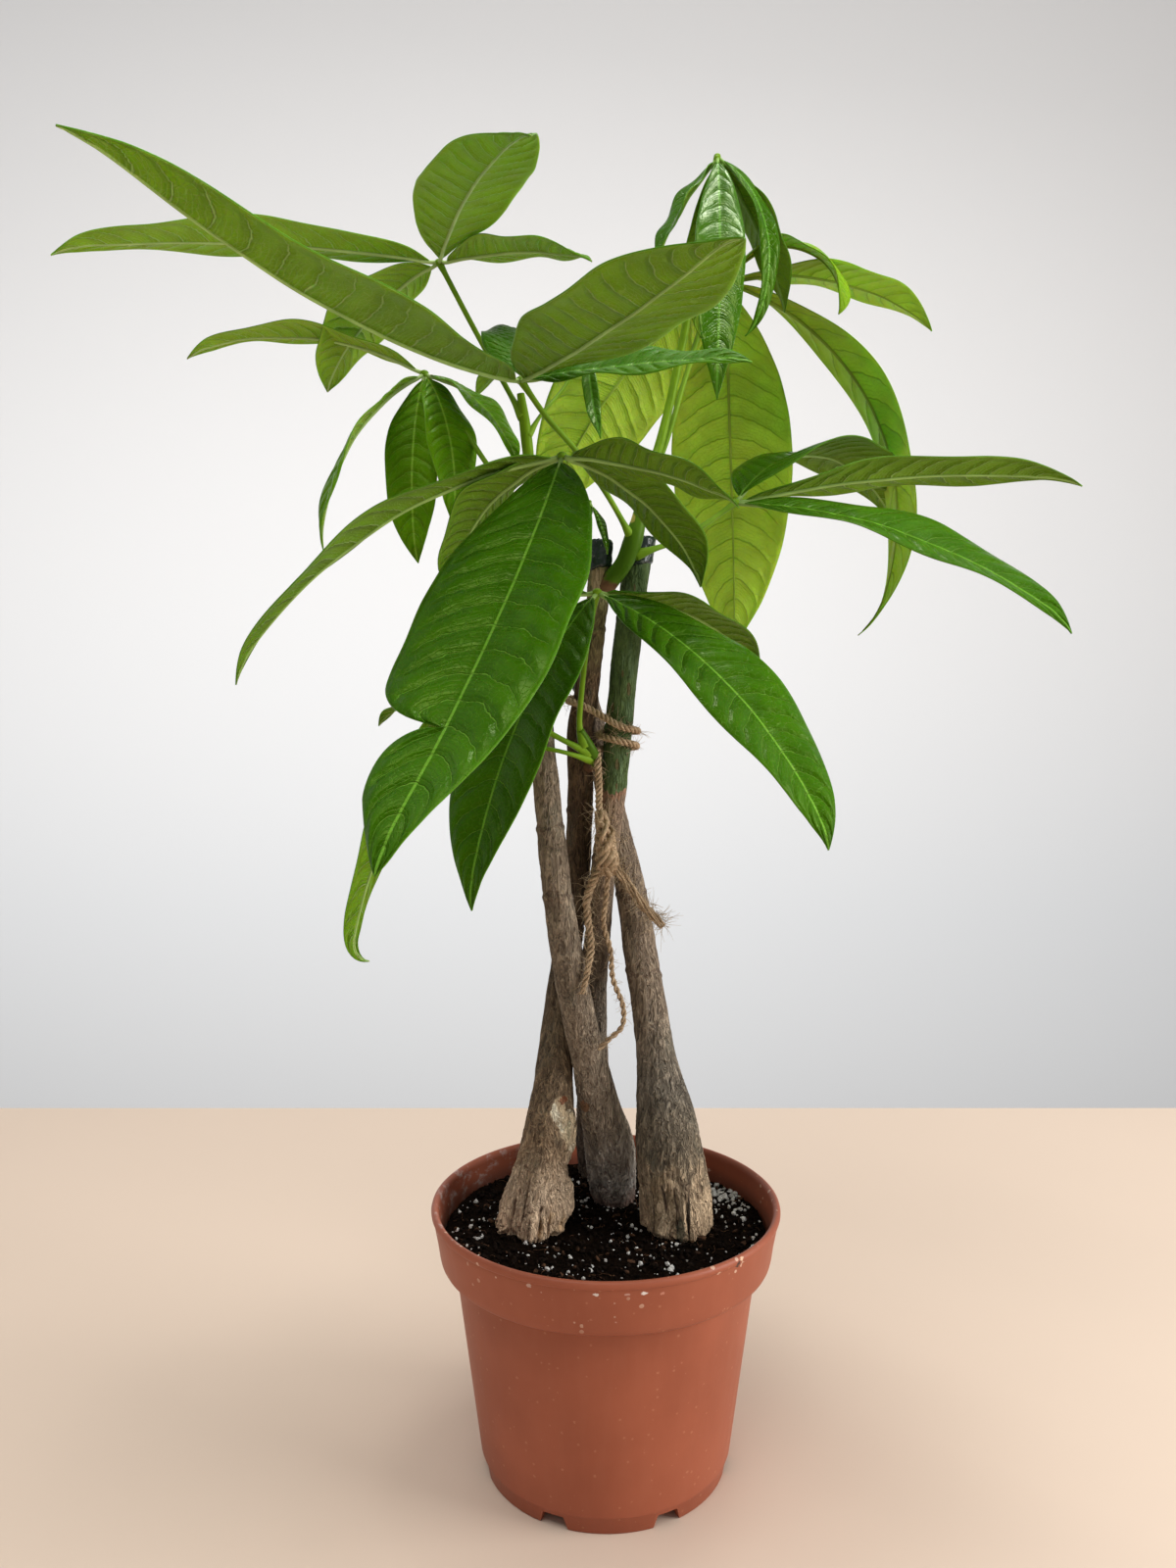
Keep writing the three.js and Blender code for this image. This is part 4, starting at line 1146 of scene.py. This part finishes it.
def make_wax(key, cane, wax):
    """A lumpy coat of wax that ran down a cane's end, closed over its cut top."""
    top, seed = cane["rows"][-1][0], cane["seed"]
    low, coat, side_share = top - 11, 0.85, 0.75

    def place(u, v):
        angle = math.tau * (u % 1)
        run = 1.4 * ring_noise(angle, 1.5, seed + 0.5)
        lump = 0.25 * ring_noise(angle, 3, 6 * v + seed)
        if v < side_share:
            z = low + run + (top - 0.4 - low - run) * (v / side_share)
            return cane_surface(cane, angle, z, 0.1 + 0.75 * min(1, v / 0.06) + lump, bare=True)[0]
        over = (v - side_share) / 0.25
        x, y, radius = cane_at(cane["rows"], top)
        rounding = math.sin(min(1, over / 0.35) * math.pi / 2)
        reach = (radius + coat + lump) * (1 - 0.12 * rounding) * (1 - max(0, over - 0.35) / 0.65)
        z = top - 0.4 + 1.3 * rounding + 0.3 * ring_noise(angle, reach, 3)
        return Vector((x + reach * math.cos(angle), y + reach * math.sin(angle), z)) * MM

    bm = new_mesh()
    shaped_grid(bm, 48, 32, place, rolled=True)
    bmesh.ops.remove_doubles(bm, verts=bm.verts[:], dist=1e-7)
    bmesh.ops.edgeloop_fill(bm, edges=[edge for edge in bm.edges if edge.is_boundary])
    new_piece(f"wax_{key}", bm, [wax], f"wax_cap_{key}")


WAX = wax_material()
for key, cane in CANES.items():
    make_bark(key, cane)
    make_wax(key, cane, WAX)


# Leaves

# A leaflet is [heading, rise, droop, sweep, length, width, roll, fold, hook]: millimetres for the
# length and the width, a share for the fold, and degrees for the others. The fold and the tip's hook
# may be left out. A stem's rows hold x, y, z and radius, and a stalk's x, y and z.
LEAF = {"stalk": 4, "stalk_radius": 0.95, "widest": 0.48, "fullness": 1.75, "fold": 0.25,
        "curl": 0.12, "wave": 1.1, "waves": 2.5, "thickness": 0.42, "hook": 20, "hooked": 0.88}

SHOOTS = {
    "upper": {
        "node": "shoot_upper",
        "stem": [
            (-2.5, 3, 374, 4.2), (1, 1.5, 379, 4), (7, -2, 386.5, 3.7), (11, -3, 396, 4.1),
            (13.5, -2, 405, 3.1), (16, 0, 415, 3.1), (18.6, 4, 424, 2.4), (24, 10, 443, 1.9),
            (30, 15, 469, 1.8), (37, 18, 505, 1.6), (43, 20, 537, 1.5), (47, 20, 559, 1.5),
        ],
        "leaves": {
            "crown": {
                "look": "bright", "slim": 0.7, "stalk": [(43, 20, 537), (45, 20, 549), (47, 20, 559)],
                "leaflets": [
                    [268, -52, 20, -8, 130, 20, 0, 0.3], [207, -50, 16, 2, 58, 14, 0, 0.45],
                    [334, -36, 87, 2, 86, 10, 30], [20, -48, 25, 0, 70, 26, 0],
                    [112, -68, 22, 0, 74, 17, 0],
                ],
            },
            "right_upper": {
                "look": "thin",
                "stalk": [(16, 0, 415), (25.5, 14, 439), (33.5, 24, 466), (45, 38, 501), (54, 45, 516)],
                "leaflets": [
                    [172, -32, 38, 0, 132, 50, 70], [82, -40, 47, -8, 183, 60, 0],
                    [18, -9, 113, -13, 205, 36, 0], [19, 18, 44, 4, 115, 32, 0],
                    [349, 61, 160, -1, 76, 34, 15], [120, 0, 55, 0, 110, 42, 0],
                ],
            },
            "forward": {
                "look": "mid",
                "stalk": [(11, -3, 396), (0, -16, 412.5), (-12, -28, 427), (-24, -36, 439), (-33, -40, 451)],
                "leaflets": [
                    [239, -7, -23, 4, 201, 46, -20, 0.5], [295, -3, -5, -4, 165, 50, 0],
                    [91, 45, 26, 7, 70, 32, 0], [342, 5, 10, -4, 89, 22, 36],
                ],
            },
            "right": {
                "look": "deep",
                "stalk": [(12, -2, 390), (18, -2.5, 392), (29, 4, 396.5), (42.5, 13, 405), (56, 20, 415)],
                "leaflets": [
                    [334, -5, 35, -1, 152, 38, 20], [41, 50, 95, -1, 128, 54, 0],
                    [6, 14, 19, -1, 158, 32, -15],
                ],
            },
        },
    },
    "left": {
        "node": "shoot_left",
        "stem": [
            (-30.5, 2, 351, 2.8), (-36, 0.8, 356, 2.9), (-40, 2, 364, 2.8), (-40.8, 4.5, 374, 2.8),
            (-38.5, 7, 386, 2.7), (-35, 9, 399, 2.6), (-32, 10, 411, 2.5), (-32.6, 11, 430, 2.4),
            (-34.5, 12, 448, 2.3), (-36, 12, 459, 1.6),
        ],
        "leaves": {
            "left_upper": {
                "look": "pale", "stalk": [(-35, 12, 449), (-43, 17, 464), (-58, 25, 492), (-72, 30, 519)],
                "leaflets": [
                    [284, 5, 16, 9, 148, 39, 0], [193, 5, 15, 0, 158, 42, 0],
                    [332, 2, 22, -6, 79, 32, 0], [158, -15, 47, -4, 80, 44, 0],
                ],
            },
            "left": {
                "look": "pale", "stalk": [(-32, 10, 409), (-48.5, 22, 428), (-66, 36, 455), (-81, 45, 476)],
                "leaflets": [
                    [183, 29, 50, -3, 110, 30, 0], [223, -28, 57, 2, 104, 22, 20],
                    [258, -55, 54, -1, 90, 25, 0], [306, -40, 60, 0, 78, 24, 0],
                    [324, -16, 48, -2, 74, 20, 0],
                ],
            },
            "front": {
                "look": "deep",
                "stalk": [(-35.5, 8.5, 396), (-28.5, -10, 409), (-22, -40, 416.5), (-17, -60, 419)],
                "bite": {"leaflet": 0, "at": 0.7257, "before": (0.09, 2.6), "after": (0.153, 1.3), "side": -1,
                         "fullness": 1.55},
                "leaflets": [
                    [256, -44, -3, -10.4, 194, 54, 0], [189, -10, 49, -2, 149, 40, 0],
                    [328, -8, 20, -5, 77, 26, -25], [25, -10, 52, 4, 78, 36, 0],
                    [163, -13, 66, -2, 70, 36, 0],
                ],
            },
            "behind": {
                "look": "bright", "slim": 0.7,
                "stalk": [(-33, 11, 441), (-27.5, 15, 451), (-18, 26, 465), (-7.5, 40, 488)],
                "leaflets": [[271, -60, -11, 15, 59, 7, 30, 0.5], [165, 10, 60, 0, 60, 26, 0]],
            },
            "bud": {
                "look": "deep", "slim": 0.45,
                "stalk": [(-36, 8, 394), (-20, -4, 398.5), (-10.5, -16, 406.5), (-7, -20, 409)],
                "leaflets": [[268, -21, 32, 0, 18, 3, 0, 0.5], [296, -36, 35, -1, 28, 3.6, 0, 0.5]],
            },
        },
    },
    "lower": {
        "node": "shoot_lower",
        "stem": [(-8, 6, 302, 3), (-4.5, 0.5, 303.5, 2.8), (-6, -4, 308.5, 2.5), (-11, -8, 318, 1.6)],
        "leaves": {
            "right_lower": {
                "look": "deep",
                "stalk": [(-9, -6, 311), (-11, -8, 318), (-10, -11, 336), (-7.5, -16, 356), (-4, -24, 373)],
                "leaflets": [
                    [323, -21, 43, 2, 143, 43, 16], [16, 1, 47, 6, 82, 36, 0],
                    [237, -33, 46, -8, 144, 42, 0], [178, 0, 45, 0, 76, 34, 0],
                ],
            },
            "left_lower": {
                "look": "mid",
                "stalk": [(-7, -4, 308), (-20, -12, 315), (-30, -12, 321), (-44, -4, 332), (-57, 5, 340)],
                "leaflets": [
                    [165, -9, 32, -1, 49, 18, 0], [213, -49, 31, -2, 134, 20, 62, 0.4, 95],
                    [100, -10, 50, 0, 85, 34, 0],
                ],
            },
            "young": {
                "look": "bright", "slim": 0.8,
                "stalk": [(-6, -3, 305), (-20, -13, 309.5), (-34, -12, 312), (-45, -6, 315)],
                "leaflets": [
                    [200, -10, 50, 0, 48, 18, 0], [290, -20, 40, 0, 40, 16, 0], [120, -10, 40, 0, 45, 18, 0],
                ],
            },
        },
    },
}

# Each look has the colours of the upper face in light and shade, of the under face and of the veins
# on both, the roughness and gloss of the upper face, how much light and how much red goes through,
# and how strongly the blade is quilted.
LOOKS = {
    "deep": {"top": (0.044, 0.14, 0.001), "shade": (0.03, 0.105, 0.001), "under": (0.14, 0.27, 0.014),
             "vein": (0.15, 0.34, 0.03), "rib": (0.36, 0.54, 0.15), "rough": 0.22, "gloss": 0.17,
             "through": 0.15, "red": 0.12, "quilt": 0.9},
    "mid": {"top": (0.055, 0.17, 0.002), "shade": (0.036, 0.13, 0.001), "under": (0.165, 0.32, 0.012),
            "vein": (0.15, 0.34, 0.03), "rib": (0.4, 0.58, 0.17), "rough": 0.3, "gloss": 0.15,
            "through": 0.25, "red": 0.12, "quilt": 0.9},
    "bright": {"top": (0.05, 0.15, 0.002), "shade": (0.032, 0.11, 0.001), "under": (0.17, 0.31, 0.02),
               "vein": (0.09, 0.25, 0.02), "rib": (0.22, 0.4, 0.07), "rough": 0.13, "gloss": 0.26,
               "through": 0.15, "red": 0.12, "quilt": 0.25},
    # Painted light: the backlit thin look's colours are raised above the leaf's own green, on top of the
    # light that really goes through it.
    "thin": {"top": (0.2, 0.37, 0.006), "shade": (0.14, 0.29, 0.004), "under": (0.46, 0.6, 0.07),
             "vein": (0.12, 0.21, 0.01), "rib": (0.27, 0.4, 0.05), "rough": 0.3, "gloss": 0.15,
             "through": 0.75, "red": 0.45, "quilt": 0.55},
    # Painted light: the pale look's colours are raised above the leaves' own green for leaves lit from
    # behind, besides the light that goes through.
    "pale": {"top": (0.1, 0.24, 0.003), "shade": (0.07, 0.18, 0.002), "under": (0.27, 0.45, 0.03),
             "vein": (0.2, 0.36, 0.04), "rib": (0.5, 0.68, 0.24), "rough": 0.3, "gloss": 0.15,
             "through": 0.45, "red": 0.25, "quilt": 0.8},
}


UPPER, UNDER, RIB, STALK = range(4)
STALK_SHEEN = (0.8, 1, 0.4)


def leaf_material(name, look, upper):
    """One face of a leaf. The veins sink into the upper face and stand out from the under one."""
    if upper:
        base, deeper, line, fine = look["top"], look["shade"], look["vein"], look["shade"]
        rough, gloss, width, strength, depth, sign = look["rough"], look["gloss"], 0.045, 0.75, 0.0008, -1
    else:
        base, deeper, line, fine = look["under"], scaled(look["under"], 0.8), look["rib"], look["rib"]
        rough, gloss, width, strength, depth, sign = 0.55, 0.12, 0.055, 0.7, 0.0015, 1
    sheet = MaterialSheet(name, rough, gloss)
    veins = sheet.group(VEINS, Width=width)
    wide = sheet.place.noise(18, 2).between(0.3, 0.7)
    # Painted shade: blotches of the upper face's shade colour, also along its fine striations, and of a
    # darker copy of the under face's colour.
    colour = veins["Blotch"].mix(deeper, base).painted(scaled(base, 1.25), wide * 0.3)
    for part, share, tint in (("Fine", 0.2, fine), ("Net", 0.2, line), ("Vein", strength, line),
                              ("Margin", 0.4, line), ("Midrib", 0.8, scaled(line, 1.3))):
        colour = colour.painted(tint, veins[part] * share)
    height = veins["Vein"] * sign - veins["Swell"] * (look["quilt"] * sign)
    height = height + veins["Fine"] * (0.15 * sign) + veins["Net"] * (0.15 * sign)
    return sheet.finished(
        colour, height, 0.9, depth, roughness=wide * 0.12 + rough, specular_tint=(0.72, 1, 0.15),
        subsurface_weight=look["through"], subsurface_radius=(look["red"], 1, 0.06), subsurface_scale=0.001)


def stalk_material(name, light, dark, roughness=0.4):
    sheet = MaterialSheet(name, roughness, 0.15)
    streaks = sheet.place.stretched(0.25).noise(500)
    colour = sheet.place.noise(60, 2).between(0.35, 0.65).mix(dark, light)
    colour = colour.painted(dark, streaks.between(0.5, 0.7) * 0.25)
    return sheet.finished(colour, streaks, 0.3, 0.0003, specular_tint=STALK_SHEEN)


def stem_material():
    """Dark green above a brown collar, lighter towards the young end, with a pale leaf scar."""
    sheet = MaterialSheet("green_stem", 0.4, 0.15)
    place = sheet.place
    along = sheet.mark("along").parts()[1]
    rough = place.noise(330, 3, 0.6)
    streaks = place.stretched(0.25).noise(500)
    colour = along.between(2.0, 7.0).mix((0.055, 0.13, 0.006), (0.15, 0.28, 0.009))
    colour = colour.painted((0.04, 0.1, 0.006), streaks.between(0.45, 0.7) * 0.35)
    colour = colour.painted((0.5, 0.4, 0.1), place.spot((10.4, -5, 405.5), (1.4, 3, 2.6), 0.2) * 0.8)
    collar = rough.mix((0.05, 0.022, 0.012), (0.19, 0.1, 0.055))
    colour = colour.painted(collar, along.strayed(rough, 0.8).between(0.95, 0.7))
    return sheet.finished(colour, streaks, 0.4, 0.0004, specular_tint=STALK_SHEEN)


LEAF_MATERIALS = {
    key: (leaf_material(f"leaf_{key}_upper", look, True), leaf_material(f"leaf_{key}_under", look, False),
          stalk_material(f"rib_{key}", look["rib"], scaled(look["rib"], 0.75), 0.42))
    for key, look in LOOKS.items()
}
STALK_MATERIAL = stalk_material("leaf_stalk", (0.19, 0.34, 0.02), (0.12, 0.24, 0.012))
STEM_MATERIAL = stem_material()


def heading_and_slope(row, t, hook):
    heading, rise, droop, sweep = row[:4]
    hooked = max(0, (t - LEAF["hooked"]) / (1 - LEAF["hooked"])) ** 1.5
    return math.radians(heading + sweep * t), math.radians(rise - droop * t - hook * hooked)


def direction(heading, slope):
    return Vector((*polar(math.cos(slope), heading), math.sin(slope)))


def midrib_line(hub, row, hook, steps=160):
    """Points and directions along a leaflet's midrib, from the hub to the tip."""
    here = Vector(hub)
    roll = math.radians(row[6])
    line = []
    for i in range(steps + 1):
        heading, slope = heading_and_slope(row, i / steps, hook)
        level = Vector((-math.sin(heading), math.cos(heading), 0))
        above = direction(heading, slope).cross(level)
        side = level * math.cos(roll) + above * math.sin(roll)
        up = above * math.cos(roll) - level * math.sin(roll)
        line.append((here.copy(), side, up))
        here += direction(*heading_and_slope(row, (i + 0.5) / steps, hook)) * row[4] / steps
    return line


def on_line(line, t):
    at = min(t, 1) * (len(line) - 1)
    i = min(int(at), len(line) - 2)
    return [first.lerp(second, at - i) for first, second in zip(line[i], line[i + 1])]


def leaflet(bm, hub, row, look, seed, bite=None):
    """One leaflet: an arched blade with puckered side veins, and a midrib that stands out below.
    Along it t runs from the hub to the tip, and across it v runs from one edge to the other."""
    length, width = row[4], row[5]
    fold = row[7] if len(row) > 7 else LEAF["fold"]
    hook = row[8] if len(row) > 8 else LEAF["hook"]
    full = bite["fullness"] if bite else LEAF["fullness"]
    line = midrib_line(hub, row, hook)
    share = LEAF["stalk"] / length
    veins = 10 + width / 8
    lag = 0.06 + 0.12 * width / length

    def half_width(t, v):
        x = max(0, (t - share) / (1 - share))
        m = LEAF["widest"]
        half = 0.5 * width * (x / m) ** (full * m) * ((1 - x) / (1 - m)) ** (full * (1 - m))
        if bite and v * bite["side"] > 0:
            span, swell = bite["after"] if t > bite["at"] else bite["before"]
            half *= 0.03 + 0.97 * (1 - (1 - min(1, abs(t - bite["at"]) / span)) ** swell) ** 0.5
        half *= 1 - 0.12 * clamped((x - 0.88) / 0.1)
        ripple = 1 + 0.03 * noise.noise(Vector((t * 9, 2.0 * (v > 0), seed)))
        return max(0.22, half * ripple)

    def waver(t, v):
        return 0.5 * noise.noise(Vector((t * 6, v * 1.5, seed * 3.1)))

    def vein_number(t, v):
        return veins * (t - share - lag * abs(v) ** 1.5) / (1 - share)

    def on_blade(u, w):
        return share + (1 - share) * w, math.copysign(abs(1 - 2 * u) ** 0.92, 1 - 2 * u)

    def place(u, w):
        t, v = on_blade(u, w)
        here, side, up = on_line(line, t)
        half = half_width(t, v)
        grown = min(1, half / 6)
        wave = LEAF["wave"] * math.sin(math.tau * LEAF["waves"] * t + (0 if v > 0 else 2)) * v * v
        lift = half * (fold * abs(v) - LEAF["curl"] * v * v) + wave * grown
        pucker = abs(math.sin(math.pi * vein_number(t, v))) ** 0.7 - 0.5
        lift += look["quilt"] * pucker * grown * min(1, 4 * abs(v)) * (1 - v ** 4)
        lift += grown * waver(t, v)
        return (here + side * v * half + up * lift) * MM

    def vein_mark(u, w):
        t, v = on_blade(u, w)
        return vein_number(t, v), v

    def span_mark(u, w):
        t, v = on_blade(u, w)
        return 0.1 * length * t + 31 * seed, 0.1 * half_width(t, v) * v

    rows_along = 150 if bite else max(16, round(length / 1.9))
    marks = {"veins": vein_mark, "span": span_mark}
    thicken(bm, shaped_grid(bm, 20 if width > 20 else 12, rows_along, place, marks, UPPER))
    rib = []
    for i in range(25):
        t = share * 0.3 + (0.985 - share * 0.3) * i / 24
        here, side, up = on_line(line, t)
        thick = LEAF["stalk_radius"] if t < share else 0.22 + 0.62 * (1 - t) ** 0.8
        sunk = (0.2 + 0.75 * thick) * min(1, t / share)
        spot = here - up * (sunk - min(1, half_width(t, 0) / 6) * waver(t, 0))
        rib.append((*spot, thick * min(1, 0.6 + width / 60)))
    tube(bm, rib, 8, max(1.5, length / 50), material=RIB)


def thicken(bm, faces):
    """Gives a blade its thickness and its under face."""
    bm.normal_update()
    made = bmesh.ops.solidify(bm, geom=faces, thickness=LEAF["thickness"] * MM)["geom"]
    shell = {part for part in made if isinstance(part, bmesh.types.BMFace)}
    upper_verts = {vert for face in faces if face.is_valid for vert in face.verts}
    for face in shell:
        face.smooth = True
        if not all(vert in upper_verts for vert in face.verts):
            face.material_index = UNDER


def petiole(bm, route, radius, step=2.5):
    """A leaf's stalk, swollen where it leaves the stem and where it holds the leaflets."""
    line = smooth_rows(route, step)
    total = len(line) - 1
    rows = []
    for i, spot in enumerate(line):
        t = i / total
        swell = 1.1 * math.exp(-(t * total * step / 6) ** 2)
        swell += 0.4 * math.exp(-((1 - t) * total * step / 4) ** 2)
        rows.append((*spot, radius * (1 + swell)))
    tube(bm, rows, 14, 1.2, material=STALK)


def make_leaf(shoot_key, shoot, key, leaf, seed):
    """A stalk, the knob at its end and the leaflets that spread from it."""
    hub, slim, bite = leaf["stalk"][-1], leaf.get("slim", 1), leaf.get("bite")
    bm = new_mesh("veins", "span")
    petiole(bm, leaf["stalk"], 1.15 * slim)
    knob = bmesh.ops.create_icosphere(
        bm, subdivisions=3, radius=2 * slim * MM,
        matrix=Matrix.Translation(Vector(hub) * MM) @ Matrix.Diagonal((1, 1, 0.8, 1)))["verts"]
    for face in dict.fromkeys(face for vert in knob for face in vert.link_faces):
        face.material_index = STALK
        face.smooth = True
    for i, row in enumerate(leaf["leaflets"]):
        bitten = bite if bite and bite["leaflet"] == i else None
        leaflet(bm, hub, row, LOOKS[leaf["look"]], seed + i, bitten)
    materials = [*LEAF_MATERIALS[leaf["look"]], STALK_MATERIAL]
    new_piece(f"leaf_{shoot_key}_{key}", bm, materials, shoot["node"])


def make_shoot(shoot_key, shoot, seed):
    bm = new_mesh("along")
    length = sum(math.dist(a[:3], b[:3]) for a, b in zip(shoot["stem"], shoot["stem"][1:]))
    tube(bm, shoot["stem"], 20, 1.2, {"along": lambda u, v: (u, 0.1 * length * v)},
         bulge=lambda angle, v: 1 + 0.05 * ring_noise(angle, 1, 14 * v))
    new_piece(f"stem_{shoot_key}", bm, [STEM_MATERIAL], shoot["node"])
    for number, (key, leaf) in enumerate(shoot["leaves"].items()):
        make_leaf(shoot_key, shoot, key, leaf, seed + 10 * number)


for number, (key, shoot) in enumerate(SHOOTS.items()):
    make_shoot(key, shoot, 1 + 60 * number)
